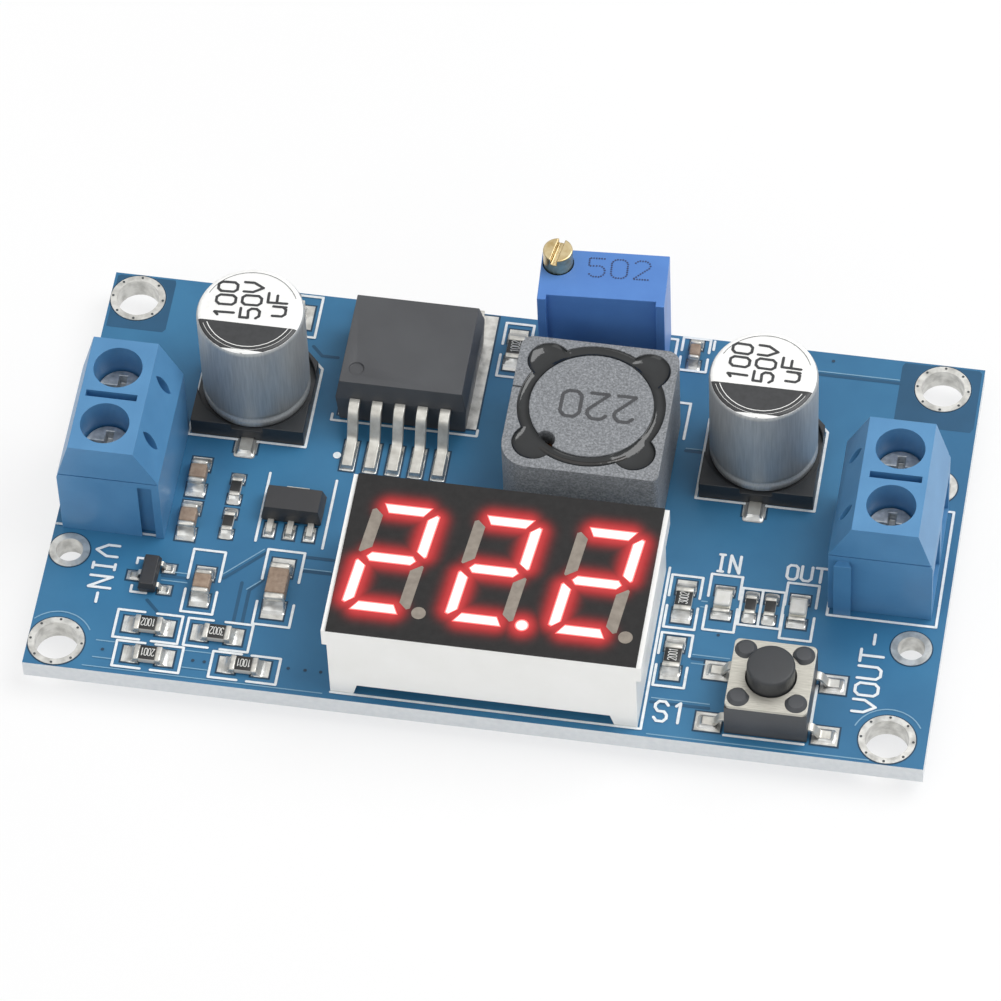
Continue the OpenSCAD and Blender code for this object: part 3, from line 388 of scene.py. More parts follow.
def frame_lines(low, high, open_from=0.0, open_to=0.0):
    """A rectangle's outline; its long sides may be left open between two shares of their length."""
    (x0, y0), (x1, y1) = low, high
    if open_to <= open_from:
        return lines([(x0, y0), (x1, y0), (x1, y1), (x0, y1), (x0, y0)])
    if x1 - x0 > y1 - y0:
        a, b = x0 + (x1 - x0) * open_from, x0 + (x1 - x0) * open_to
        return lines([(a, y0), (x0, y0), (x0, y1), (a, y1)], [(b, y0), (x1, y0), (x1, y1), (b, y1)])
    a, b = y0 + (y1 - y0) * open_from, y0 + (y1 - y0) * open_to
    return lines([(x0, a), (x0, y0), (x1, y0), (x1, a)], [(x0, b), (x0, y1), (x1, y1), (x1, b)])


# Materials -------------------------------------------------------------------

def linear(colour):
    """Linear RGBA of an sRGB hex colour."""
    s = np.array([int(colour[i:i + 2], 16) / 255 for i in (1, 3, 5)])
    return (*np.where(s <= 0.04045, s / 12.92, ((s + 0.055) / 1.055) ** 2.4), 1.0)


def per(size):
    """Scale of a noise whose features are that many millimetres across."""
    return 1 / (size * MM)


def join(tree, node, links):
    """Links sockets of a node to the sources given by label: a node, or (node, output)."""
    for key, source in links.items():
        start, output = source if isinstance(source, tuple) else (source, 0)
        tree.links.new(start.outputs[output], node.inputs[key])


def add(tree, kind, settings=None, links=None):
    """Adds a node with its settings and links. Lower-case keys are properties, ramp is a list of
    (position, hex colour), and the others are sockets by label or number."""
    node = tree.nodes.new("ShaderNode" + kind)
    for key, value in (settings or {}).items():
        if key == "ramp":
            stops = node.color_ramp.elements
            for i, (position, colour) in enumerate(value):
                stop = stops[i] if i < 2 else stops.new(position)
                stop.position, stop.color = position, linear(colour)
        elif isinstance(key, str) and key.islower():
            setattr(node, key, value)
        else:
            node.inputs[key].default_value = value
    join(tree, node, links or {})
    return node


def material(name, colour, **sockets):
    """A material with a Principled shader of that colour. Returns it, its nodes, the shader and
    a Texture Coordinate node."""
    made = bpy.data.materials.new(name)
    made.use_nodes = True
    tree = made.node_tree
    shader = tree.nodes["Principled BSDF"]
    shader.inputs["Base Color"].default_value = linear(colour)
    for label, value in sockets.items():
        shader.inputs[label.replace("_", " ")].default_value = value
    made.diffuse_color = linear(colour)
    return made, tree, shader, add(tree, "TexCoord")


def grain(tree, shader, place, size, depth, detail=3.0, links=None):
    """Fine relief of noise: features of size and a height of depth, both in millimetres."""
    noise = add(tree, "TexNoise", {"Scale": per(size), "Detail": detail},
                {"Vector": links or (place, "Object")})
    bump = add(tree, "Bump", {"Strength": 1.0, "Distance": depth * MM}, {"Height": noise})
    join(tree, shader, {"Normal": bump})
    return noise


def mottle(tree, shader, place, size, ramp, detail=4.0):
    """Colour that drifts between the ramp's colours over features of that size."""
    noise = add(tree, "TexNoise", {"Scale": per(size), "Detail": detail}, {"Vector": (place, "Object")})
    tint = add(tree, "ValToRGB", {"ramp": ramp}, {"Fac": noise})
    join(tree, shader, {"Base Color": tint})
    return tint


def grained(name, colour, drift, relief, **sockets):
    """A material whose colour drifts (size, ramp) under a fine relief (size, depth)."""
    made, tree, shader, place = material(name, colour, **sockets)
    mottle(tree, shader, place, *drift)
    grain(tree, shader, place, *relief)
    return made


def screened_solder_mask(colours):
    """Liquid solder mask cured over copper and glass-epoxy laminate: an even blue that the weave
    just shows through. Sawn edges show the pale laminate, found by their level normal."""
    made, tree, shader, place = material("screened_solder_mask", colours.mask, Roughness=0.4, IOR=1.42)
    tone = add(tree, "TexNoise", {"Scale": per(7), "Detail": 4.0}, {"Vector": (place, "Object")})
    blue = add(tree, "ValToRGB", {"ramp": [(0.35, colours.mask_dark), (0.65, colours.mask)]}, {"Fac": tone})
    fibre = add(tree, "TexNoise", {"Scale": per(0.5), "Detail": 2.0}, {"Vector": (place, "Object")})
    pale = add(tree, "ValToRGB", {"ramp": [(0.3, "#d6dbdf"), (0.7, "#dfe3e6")]}, {"Fac": fibre})
    facing = add(tree, "SeparateXYZ", {}, {"Vector": (add(tree, "NewGeometry"), "Normal")})
    level = add(tree, "Math", {"operation": "ABSOLUTE"}, {0: (facing, "Z")})
    edge = add(tree, "Math", {"operation": "LESS_THAN", 1: 0.5}, {0: level})
    both = add(tree, "MixRGB", {}, {"Fac": edge, "Color1": blue, "Color2": pale})
    join(tree, shader, {"Base Color": both})
    # Glass weave, one thread every 0.5 mm each way
    warp, weft = (add(tree, "TexWave", {"bands_direction": way, "Scale": 0.314 * per(0.5)},
                      {"Vector": (place, "Object")}) for way in "XY")
    weave = add(tree, "Math", {"operation": "MULTIPLY"}, {0: (warp, "Fac"), 1: (weft, "Fac")})
    join(tree, shader,
         {"Normal": add(tree, "Bump", {"Strength": 0.3, "Distance": 0.004 * MM}, {"Height": weave})})
    return made


def mask_over(name, colour, dark):
    """The same mask where what lies under it changes: darker over bare laminate, paler along the
    edge of the copper, where the mask thins out and a painted highlight stands for the edge catching the
    light."""
    return grained(name, colour, (5, [(0.3, dark), (0.7, colour)]), (0.3, 0.002), Roughness=0.4, IOR=1.42)


def levelled_tin(name="levelled_tin", colour="#e0dfda", roughness=0.3, size=0.5, depth=0.02):
    """Tin levelled with hot air or melted on: bright metal with slow, uneven ripples."""
    return grained(name, colour, (size * 1.6, [(0.3, "#b4b3ae"), (0.6, colour)]), (size, depth),
                   Metallic=0.7, Roughness=roughness)


def dull_tin_plate():
    """Electroplated tin on stamped leads: pale satin metal with rolling lines too fine to count."""
    return grained("dull_tin_plate", "#d6d4cc", (0.7, [(0.3, "#bfbcb4"), (0.7, "#dedcd5")]),
                   (0.08, 0.003), Metallic=0.7, Roughness=0.36)


def moulded_plastic(name, colour, dark, roughness=0.42, size=0.12, depth=0.006, specular=1.5):
    """Plastic straight from a spark-eroded mould: one colour that hardly drifts, fine grain and
    a soft sheen."""
    return grained(name, colour, (4.5, [(0.3, dark), (0.7, colour)]), (size, depth),
                   Roughness=roughness, IOR=specular)


def moulded_epoxy():
    """Transfer-moulded epoxy of power packages: dark grey, dull, very finely pitted."""
    return moulded_plastic("moulded_epoxy", "#4d4f52", "#454649", 0.5, 0.08, 0.008, 1.5)


def cast_resin(name, colour, dark, roughness=0.15, size=1.2, depth=0.04):
    """Potting resin poured and cured in place: glassy, dark, with a slow swell."""
    return grained(name, colour, (1.5, [(0.3, dark), (0.7, colour)]), (size, depth),
                   Roughness=roughness, IOR=1.55)


def sintered_ferrite():
    """Pressed and sintered ferrite: matte grey with dark and light specks from 0.1 to 0.3 mm."""
    made, tree, shader, place = material("sintered_ferrite", "#8d8d8f", Roughness=0.55, IOR=1.6)
    fine = add(tree, "TexNoise", {"Scale": per(0.16), "Detail": 5.0, "Roughness": 0.75},
               {"Vector": (place, "Object")})
    tint = add(tree, "ValToRGB", {"ramp": [(0.32, "#54575a"), (0.5, "#7b7e82"), (0.68, "#a3a6aa")]},
               {"Fac": fine})
    join(tree, shader, {"Base Color": tint})
    grain(tree, shader, place, 0.12, 0.012)
    return made


def drawn_aluminium():
    """Deep-drawn can under a clear lacquer: cool grey satin metal, half of whose light is
    scattered, with drawing lines running upwards."""
    made, tree, shader, place = material("drawn_aluminium", "#b0b4b6", Metallic=0.5, Roughness=0.45)
    stretch = add(tree, "Mapping", {"Scale": (1, 1, 0.05)}, {"Vector": (place, "Object")})
    noise = grain(tree, shader, place, 0.12, 0.002, links=stretch)
    tint = add(tree, "ValToRGB", {"ramp": [(0.3, "#a5a9ac"), (0.7, "#b9bdbf")]}, {"Fac": noise})
    join(tree, shader, {"Base Color": tint})
    return made


def turned_brass():
    """Free-cutting brass off a lathe: warm, pale metal with fine tool rings."""
    return grained("turned_brass", "#dccaa0", (0.7, [(0.3, "#bda473"), (0.7, "#e2d1a8")]), (0.1, 0.005),
                   Metallic=1.0, Roughness=0.28)


def zinc_plated_steel():
    """Steel screw under bright zinc: grey, slightly blue, lightly scuffed."""
    return grained("zinc_plated_steel", "#eceeee", (0.5, [(0.3, "#9fa4a6"), (0.7, "#d8dadb")]),
                   (0.15, 0.008), Metallic=0.5, Roughness=0.28)


def satin_steel_sheet():
    """Stamped stainless sheet: brushed one way, a warm grey, edges a little worn."""
    made, tree, shader, place = material("satin_steel_sheet", "#c0bdb3", Metallic=0.7, Roughness=0.42)
    stretch = add(tree, "Mapping", {"Scale": (0.08, 1, 1)}, {"Vector": (place, "Object")})
    noise = grain(tree, shader, place, 0.07, 0.004, links=stretch)
    tint = add(tree, "ValToRGB", {"ramp": [(0.3, "#b2afa5"), (0.7, "#cbc8be")]}, {"Fac": noise})
    join(tree, shader, {"Base Color": tint})
    return made


def enamelled_copper():
    """Magnet wire: copper under a clear enamel, orange-brown and shiny."""
    made, tree, shader, place = material("enamelled_copper", "#b06a3a", Metallic=0.8, Roughness=0.3,
                                         Coat_Weight=0.6, Coat_Roughness=0.1)
    mottle(tree, shader, place, 0.8, [(0.3, "#7d4526"), (0.7, "#c07a48")])
    return made


def glazed_alumina():
    """Chip resistor: black glass glaze printed on white alumina, which shows on the sides."""
    made, tree, shader, place = material("glazed_alumina", "#2b2a2a", Roughness=0.3, IOR=1.5)
    facing = add(tree, "SeparateXYZ", {}, {"Vector": (add(tree, "NewGeometry"), "Normal")})
    up = add(tree, "ValToRGB", {"ramp": [(0.55, "#c9c6bf"), (0.8, "#262626")]}, {"Fac": (facing, "Z")})
    join(tree, shader, {"Base Color": up})
    grain(tree, shader, place, 0.1, 0.004)
    return made


def fired_ceramic():
    """Multilayer capacitor body: dense fired ceramic, tan, matte, finely pitted."""
    return grained("fired_ceramic", "#998472", (0.35, [(0.3, "#8a7463"), (0.7, "#a5907d")]),
                   (0.08, 0.004), Roughness=0.45, IOR=1.5)


def clear_epoxy():
    """Cast LED lens: clear, faintly yellow epoxy over the chip."""
    made, tree, shader, place = material("clear_epoxy", "#f8f7f2", Roughness=0.12, IOR=1.52,
                                         Transmission_Weight=0.25)
    mottle(tree, shader, place, 0.5, [(0.3, "#efeee6"), (0.7, "#fbfaf7")])
    return made


def screen_ink(name, colour, dark, roughness=0.55):
    """Screen-printed or pad-printed ink: flat, opaque, with a slightly rough skin."""
    return grained(name, colour, (0.4, [(0.3, dark), (0.6, colour)]), (0.06, 0.002), Roughness=roughness)


def glow_of(tree, levels, strength):
    """Emission for a surface whose glow attribute says how near the light it lies: its colour
    from a ramp of levels, and its strength in proportion."""
    near = add(tree, "Attribute", {"attribute_name": "glow"})
    tint = add(tree, "ValToRGB", {"ramp": levels}, {"Fac": (near, "Fac")})
    power = add(tree, "Math", {"operation": "MULTIPLY", 1: strength}, {0: (near, "Fac")})
    return tint, power


def printed_display_face():
    """Black ink printed over the display's white moulding: matte, with the red of the lit bars
    spread in it close by."""
    made, tree, shader, place = material("printed_display_face", "#242323", Roughness=0.55, IOR=1.35)
    mottle(tree, shader, place, 0.5, [(0.3, "#201f1f"), (0.7, "#272626")])
    grain(tree, shader, place, 0.12, 0.004)
    tint, power = glow_of(tree, [(0.0, "#ff1820"), (0.6, "#ff2028"), (1.0, "#ff3a3e")], 0.6)
    join(tree, shader, {"Emission Color": tint, "Emission Strength": power})
    return made


def lit_resin_bar():
    """Milky resin over a driven LED: white-hot along its middle, pink and then red at its rim."""
    made, tree, shader, _ = material("lit_resin_bar", "#ff8a88", Roughness=0.4)
    near = add(tree, "Attribute", {"attribute_name": "glow"})
    tint = add(tree, "ValToRGB", {"ramp": [(0.0, "#f0403f"), (0.16, "#ff8582"), (0.34, "#ffdcd6"),
                                           (1.0, "#fff8f4")]}, {"Fac": (near, "Fac")})
    join(tree, shader, {"Base Color": tint, "Emission Color": tint})
    shader.inputs["Emission Strength"].default_value = 0.7
    return made


def unlit_resin_bar():
    """The same milky resin with its LED off: a dull, warm grey."""
    return grained("unlit_resin_bar", "#938a7f", (0.6, [(0.3, "#857c72"), (0.7, "#988f84")]),
                   (0.1, 0.003), Roughness=0.45, IOR=1.45)


def white_backdrop():
    """Matte white board under the module. Rays from the camera and from mirrors see it lifted
    towards paper white, and it keeps the shadow."""
    made, tree, shader, place = material("white_backdrop", "#f4f4f4", Roughness=0.9)
    mottle(tree, shader, place, 60, [(0.3, "#f1f1f1"), (0.7, "#f7f7f7")])
    ray = add(tree, "LightPath")
    seen = add(tree, "Math", {"operation": "MAXIMUM"},
               {0: (ray, "Is Camera Ray"), 1: (ray, "Is Transmission Ray")})
    seen = add(tree, "Math", {"operation": "MAXIMUM"}, {0: seen, 1: (ray, "Is Glossy Ray")})
    share = add(tree, "Math", {"operation": "MULTIPLY", 1: 0.75}, {0: seen})
    white = add(tree, "Emission", {"Color": (1, 1, 1, 1), "Strength": 1.0})
    mix = add(tree, "MixShader", {}, {0: share, 1: shader, 2: white})
    join(tree, tree.nodes["Material Output"], {"Surface": mix})
    return made


# Sizes and colours that a maker would change ---------------------------------

class ModuleColours(bpy.types.PropertyGroup):
    """Colours of the module's plastics and inks, as sRGB hex"""
    mask: StringProperty(name="Solder mask", description="Mask over copper", default="#3a78a0")
    mask_dark: StringProperty(name="Solder mask, dark", description="Mask where it lies thickest",
                              default="#316c94")
    mask_bare: StringProperty(name="Bare mask", description="Mask where no copper lies under it",
                              default="#285a7d")
    # Pale colour along the copper's edges: a painted highlight where those edges catch the light, together
    # with the mask thinning over them
    edge_highlight_colour: StringProperty(name="Mask at edges", description="Mask along the edge of the copper",
                              default="#8ab2cb")
    terminal: StringProperty(name="Terminals", description="Nylon of the screw terminals", default="#568fbd")
    terminal_dark: StringProperty(name="Terminals, dark", description="Darker drift in that nylon",
                                  default="#4a82b0")
    trimmer: StringProperty(name="Trimmer", description="Moulded housing of the trimmer", default="#578ad0")
    trimmer_dark: StringProperty(name="Trimmer, dark", description="Darker drift in that housing",
                                 default="#4c7cc2")
    silk: StringProperty(name="Board print", description="Ink of the board's outlines and legends",
                         default="#eef2f4")


class ModulePrint(bpy.types.PropertyGroup):
    """Sizes of what is printed on the board and the parts"""
    line: FloatProperty(name="Outline width", description="Width of the outlines on the board",
                        default=0.2 * MM, unit="LENGTH")
    letter: FloatProperty(name="Legend stroke", description="Stroke width of the board's legends",
                          default=0.22 * MM, unit="LENGTH")
    film: FloatProperty(name="Ink height", description="Height of a print above its ground",
                        default=0.015 * MM, unit="LENGTH")


class ModuleDigits(bpy.types.PropertyGroup):
    """Sizes of the display's digits; they match the windows of the moulding"""
    width: FloatProperty(name="Digit width", description="Over the outer bars, before the slant",
                         default=5 * MM, unit="LENGTH")
    height: FloatProperty(name="Digit height", description="Over the top and bottom bars",
                          default=9.6 * MM, unit="LENGTH")
    pitch: FloatProperty(name="Digit pitch", description="From one digit to the next",
                         default=7.5 * MM, unit="LENGTH")
    bar: FloatProperty(name="Bar width", description="Width of one bar", default=0.88 * MM, unit="LENGTH")
    slant: FloatProperty(name="Slant", description="Lean of the digits to the right",
                         default=math.radians(6), unit="ROTATION")
    spread: FloatProperty(name="Glow spread", description="Distance over which the glow in the face fades",
                          default=0.66 * MM, unit="LENGTH")


class ModuleSolder(bpy.types.PropertyGroup):
    """Sizes of the solder on the pads"""
    side: FloatProperty(name="Solder beside a foot", description="Reach of the solder past a foot's sides",
                        default=0.12 * MM, unit="LENGTH")
    climb: FloatProperty(name="Climb", description="Share of a chip's height that the solder climbs",
                         default=0.75, subtype="FACTOR")


class ModuleStage(bpy.types.PropertyGroup):
    """Light and camera of the studio"""
    key: FloatProperty(name="Key light", description="Power of the large lamp above, in watts", default=3.0)
    fill: FloatProperty(name="Fill light", description="Power of the lamp in front, in watts", default=0.7)
    sky: FloatProperty(name="Sky", description="Strength of the even light from all round", default=0.55)
    lens: FloatProperty(name="Lens", description="Focal length of the camera in millimetres", default=266.6)


def size(group, name):
    """A length property in millimetres."""
    return getattr(group, name) / MM


# Pieces ----------------------------------------------------------------------

class MODULE_OT_board(bpy.types.Operator):
    """Board, its plated holes, the tinned pads and the solder under it"""
    bl_idname = "module.board"
    bl_label = "Board"

    def execute(self, context):
        colours = context.scene.module_colours
        coat(screened_solder_mask(colours), "circuit_board")
        tin = levelled_tin()
        coat(tin, "plated_holes", "solder_pads")
        coat(levelled_tin("wave_solder", "#cfd0ce", 0.22, 0.4, 0.02), "solder_joints")
        dots = np.concatenate([ring_dots(c, 1.9) for c in mounting_holes()])
        piece("ring_vias", [discs(dots, 0.2, TOP + 0.07)], screen_ink("drilled_via", "#4a4e50", "#3c4042"),
              closed=False)
        # Openings in the mask are a little larger than the pads and rings in them
        pads, rings = solids("solder_pads"), solids("plated_holes")
        open_from = np.concatenate([pads[:, 0, :2] - PAD_GAP, pads[:, 1, :2] + PAD_GAP], 1)
        parts = [flat_areas(open_from, TOP + 0.012)]
        for low, high in rings:
            radius = (high - low)[0] / 2
            middle = (low + high)[:2] / 2
            reach = radius + RING_GAP
            near, far = (np.clip(middle + d, BOARD[0], BOARD[1]) for d in (-reach, reach))
            parts.append(hole_surround(near, far, middle, radius - RING_LAP, TOP + 0.012, round_to=reach))
        piece("mask_openings", parts, mask_over("laminate_at_openings", "#24465f", "#1b3a52"),
              closed=False)
        # Where the copper under the mask ends, from a hair above the board upwards
        bare = mask_over("mask_over_laminate", colours.mask_bare, "#224f6e")
        # Pale lines of painted highlight where the copper's edges catch the light, together with the mask
        # thinning over them
        edge = mask_over("painted_copper_edge_highlight", colours.edge_highlight_colour, "#7ba6c2")
        corners = [hole_surround((26.85, 12.1), (32.8, 17.85), mounting_holes()[3], BARE_R, TOP + 0.004),
                   hole_surround((-32.8, 12.9), (-28.3, 17.85), mounting_holes()[2], BARE_R, TOP + 0.004)]
        piece("mask_gaps", [*corners, printed(lines(*GAPS), 0.26, TOP + 0.008)],
              bare, closed=False)
        # Arcs of painted highlight on the back side of the two front holes, where the edge of the copper
        # catches the light
        around = np.radians(np.linspace(30, 160, 25))
        arcs = [[(x + COPPER_R * math.cos(a), y + COPPER_R * math.sin(a)) for a in around]
                for x, y in mounting_holes()[:2]]
        arcs = [[p for p in arc if abs(p[0]) < BOARD[1][0] - 0.1] for arc in arcs]
        piece("painted_edge_highlights", [printed(lines(*EDGE_HIGHLIGHTS, *arcs), 0.09, TOP + 0.03)], edge,
              closed=False)
        piece("board_vias", [discs(VIAS, 0.26, TOP + 0.035)], screen_ink("tented_via", "#23435c", "#1c384e"),
              closed=False)
        return {"FINISHED"}


def mounting_holes():
    """Middles of the four mounting holes, from the record's mount."""
    mount = next(m for m in frame["record"]["mounts"] if m["name"] == "mounting_holes")
    x, y, _ = np.array(mount["pos_m"]) / MM
    dx, dy = mount["dims"]["spacing_x_mm"] / 2, mount["dims"]["spacing_y_mm"] / 2
    return np.array([(x + i * dx, y + j * dy) for j in (-1, 1) for i in (-1, 1)])


def ring_dots(at, radius, n=8):
    """Places of n dots spaced evenly on a circle."""
    a = np.arange(n) * 2 * math.pi / n
    return np.stack([at[0] + radius * np.cos(a), at[1] + radius * np.sin(a)], -1)


def flat_areas(areas, z):
    """Level rectangles from their low and high corners, as one surface looking up."""
    a = np.array(areas, float)
    points = np.stack([a[:, [0, 1]], a[:, [2, 1]], a[:, [2, 3]], a[:, [0, 3]]], 1)
    points = np.concatenate([points, np.full(points.shape[:2] + (1,), z)], 2)
    return points.reshape(-1, 3), np.arange(len(points) * 4).reshape(-1, 4)


def hole_surround(low, high, at, radius, z, n=64, round_to=math.inf):
    """A level rectangle with a round hole: rays from the hole's middle run from its rim to the
    nearest side, or to the radius round_to where that is nearer."""
    a = np.arange(n) * 2 * math.pi / n
    c, s = np.cos(a), np.sin(a)
    x, y = (np.where(w > 0, h - m, m - l) for w, l, h, m in zip((c, s), low, high, at))
    reach = np.minimum(x / np.maximum(abs(c), 1e-6), y / np.maximum(abs(s), 1e-6))
    reach = np.minimum(reach, round_to)
    rim = np.minimum(radius, reach)
    rows = [np.stack([at[0] + r * c, at[1] + r * s, np.full(n, z)], -1) for r in (reach, rim)]
    return grid(np.stack(rows), wrap=True)


# Front left and back right corner of the board
BOARD = np.array([(-33.0, -18.0), (33.0, 18.0)])
# Gap between a pad or a ring and the mask round it, and how far the opening goes under a ring
PAD_GAP, RING_GAP, RING_LAP = 0.14, 0.1, 0.05
# Radius of the bare mask round a mounting hole, and of the edge of copper past it
BARE_R, COPPER_R = 2.2, 2.6


# Under the mask: narrow gaps between traces, edges of copper that catch the light, and vias
GAPS = [
    [(-18.4, -8.8), (-18.4, -12.3)], [(-16.9, -8.35), (-17.75, -9.4), (-17.75, -12.3)],
    [(-25.0, -11.3), (-24.6, -11.7), (-24.1, -12.2)], [(-24.3, -9.0), (-22.4, -9.0)],
    [(-19.8, -8.6), (-17.1, -5.9)], [(-14.2, -7.15), (-12.1, -7.15)], [(-14.2, -5.9), (-12.1, -5.9)],
    [(20.3, 15.9), (26.8, 15.9)], [(15.2, -10.8), (17.9, -10.8)], [(12.8, -14.95), (17.0, -14.95)],
    [(12.0, 7.55), (13.5, 7.55)], [(-17.0, 13.2), (-16.2, 12.4), (-15.0, 12.4)],
]
# Pale lines of painted highlight along the copper's edges, where they catch the light and the mask thins over
# them
EDGE_HIGHLIGHTS = [
    [(-28.0, -15.3), (-26.6, -15.3)], [(-28.0, -16.8), (-26.6, -16.8)], [(-21.4, -15.3), (-19.45, -15.3)],
    [(-21.4, -16.8), (-19.45, -16.8)], [(-28.6, -17.62), (-10.9, -17.62)], [(12.9, -17.75), (29.0, -17.75)],
    [(-24.3, -8.6), (-22.4, -8.6)], [(-24.3, -9.4), (-22.4, -9.4)], [(-19.9, -8.25), (-17.3, -5.65)],
    [(-17.95, -9.35), (-17.05, -8.45)], [(-14.2, -6.95), (-12.1, -6.95)], [(20.3, 16.17), (26.8, 16.17)],
    [(15.2, -10.45), (17.9, -10.45)], [(15.2, -11.2), (16.6, -11.2)], [(12.8, -14.6), (17.0, -14.6)],
    [(12.0, 7.77), (13.5, 7.77)], [(15.15, -5.7), (15.55, -5.7)], [(15.15, -6.2), (15.55, -6.2)],
]
VIAS = [(-27.4, -16.05), (-20.7, -16.1), (-19.85, -16.1), (-13.7, -15.8), (-12.45, -15.8), (-11.3, -15.8),
        (21.7, 17.25), (16.77, -8.5)]


# Outlines on the board: low and high corner, and the share of the long sides left open
OUTLINES = [
    ((24.33, -5.62), (32.33, 4.75), 0, 0),
    ((-26.9, -14.87), (-22.1, -12.42), 0.41, 0.6),
    ((-21.65, -14.87), (-16.88, -12.45), 0.38, 0.57),
    ((-26.48, -17.38), (-21.55, -15.12), 0.42, 0.58),
    ((-19.35, -17.38), (-14.37, -15.1), 0.42, 0.57),
    ((12.7, -8.33), (14.97, -3.67), 0.41, 0.6),
    ((12.7, -13.5), (14.97, -8.83), 0.39, 0.6),
    ((15.55, -8.15), (17.83, -3.2), 0.42, 0.6),
    ((21.17, -8.15), (23.47, -3.2), 0.42, 0.6),
    ((18.0, -7.37), (19.47, -4.13), 0, 0),
    ((19.47, -7.37), (21.1, -4.13), 0, 0),
    ((-22.4, -11.95), (-20.05, -6.35), 0.36, 0.53),
    ((-17.0, -12.3), (-14.27, -5.6), 0.3, 0.6),
    ((-3.0, 12.4), (-0.9, 17.35), 0.4, 0.6),
    ((10.35, 14.85), (12.4, 17.88), 0.4, 0.6),
    ((-24.4, 13.95), (-17.05, 17.75), 0, 0),
]


class MODULE_OT_print(bpy.types.Operator):
    """Outlines and legends printed on the board in white ink"""
    bl_idname = "module.print"
    bl_label = "Board print"

    def execute(self, context):
        colours, sizes = context.scene.module_colours, context.scene.module_print
        line, letter = size(sizes, "line"), size(sizes, "letter")
        z = TOP + 0.04 + size(sizes, "film")
        ink = screen_ink("board_print_ink", colours.silk, "#dfe6ea")
        drawn = [frame_lines(*o) for o in OUTLINES]
        for cap in ("input_capacitor_base", "output_capacitor_base"):
            low, high = box(cap)[:, :2]
            x0, y0, x1, y1 = low[0] - 0.2, low[1] - 0.12, high[0] + 0.12, high[1] + 0.25
            drawn.append(lines([(x0, y0), (x1, y0), (x1, y1 - 1.6), (x1 - 1.6, y1), (x0 + 1.6, y1),
                                (x0, y1 - 1.6), (x0, y0)]))
        drawn.append(lines(
            [(-14.5, 7.2), (-14.5, 6.65), (-3.55, 6.65), (-3.55, 7.2)],
            [(-18.1, -5.0), (-18.1, 1.2)], [(-13.1, -5.0), (-13.1, 1.2)],
            [(9.1, 15.0), (9.93, 15.0), (9.93, 17.6), (9.1, 17.6), (9.1, 15.0)],
            [(10.8, 11.83), (11.75, 11.83), (11.7, 8.55)], [(12.7, 17.0), (12.7, 18.0 - line)],
            [(-32.9, -5.5), (-24.95, -5.55)],
            [(-26.35, -10.2), (-26.35, -10.75), (-25.2, -10.75)],
            [(-26.35, -8.2), (-26.35, -7.72), (-25.8, -7.72)],
            [(-10.3, -17.42), (12.42, -17.42), (12.42, -3.1)],
            [(24.5, -11.9), (24.5, -15.2)], [(18.4, -17.1), (24.2, -17.1)]))
        outlines = np.concatenate(drawn)
        legends = np.concatenate([
            word("VIN-", (-28.7, -9.5), 1.62, -90, 0.93), word("VOUT-", (28.07, -10.25), 1.66, 90, 0.95),
            word("IN", (16.6, -2.15), 1.5, 0, 0.72), word("OUT", (22.4, -2.25), 1.25, 0, 0.9),
            word("S1", (14.28, -15.7), 1.72, 0, 0.8)])
        piece("board_print", [printed(outlines, line, z), printed(legends, letter, z),
                              discs([(-13.5, 3.5)], 0.6, z)],
              ink, closed=False)
        return {"FINISHED"}


class MODULE_OT_terminals(bpy.types.Operator):
    """Screw terminals: nylon housings, tinned clamps, screws and wire guards"""
    bl_idname = "module.terminals"
    bl_label = "Screw terminals"

    def execute(self, context):
        colours = context.scene.module_colours
        nylon = moulded_plastic("moulded_nylon", colours.terminal, colours.terminal_dark, 0.38, 0.2,
                                0.006, 1.53)
        zinc = zinc_plated_steel()
        for side in ("input", "output"):
            rounded(side + "_terminal_housing", nylon, 0.14)
            for row in ("front", "back"):
                rounded(f"{side}_screw_{row}", zinc, 0.12)
        coat(levelled_tin("tinned_brass_tube", "#d3cfc4", 0.3, 0.6, 0.006), "input_wire_clamps",
             "output_wire_clamps")
        coat(zinc, *[f"{side}_guard_{row}" for side in ("input", "output") for row in ("front", "back")])
        return {"FINISHED"}


def can_profile(radius, low, high, soft):
    """Radius and height round a can: a bead near the mouth, a straight wall and a shoulder of
    radius soft."""
    bead = low + 0.95 + 0.42 * np.linspace(-1, 1, 9)
    groove = radius - 0.17 * np.cos(np.linspace(-1, 1, 9) * math.pi / 2) ** 2
    a = np.linspace(0, math.pi / 2, 7)
    shoulder = np.stack([radius - soft + soft * np.cos(a), high - soft + soft * np.sin(a)], -1)
    toe = [(0, low), (radius - 0.25, low), (radius - 0.07, low + 0.07), (radius, low + 0.25)]
    return np.concatenate([toe, np.stack([groove, bead], -1), shoulder, [(radius - 0.6, high), (0, high)]])


def can_top(r, radius, high, soft):
    """Height of the can's top at a distance r from its axis: level, then down the shoulder."""
    return high - soft + np.sqrt(soft**2 - np.maximum(r - radius + soft, 0) ** 2)


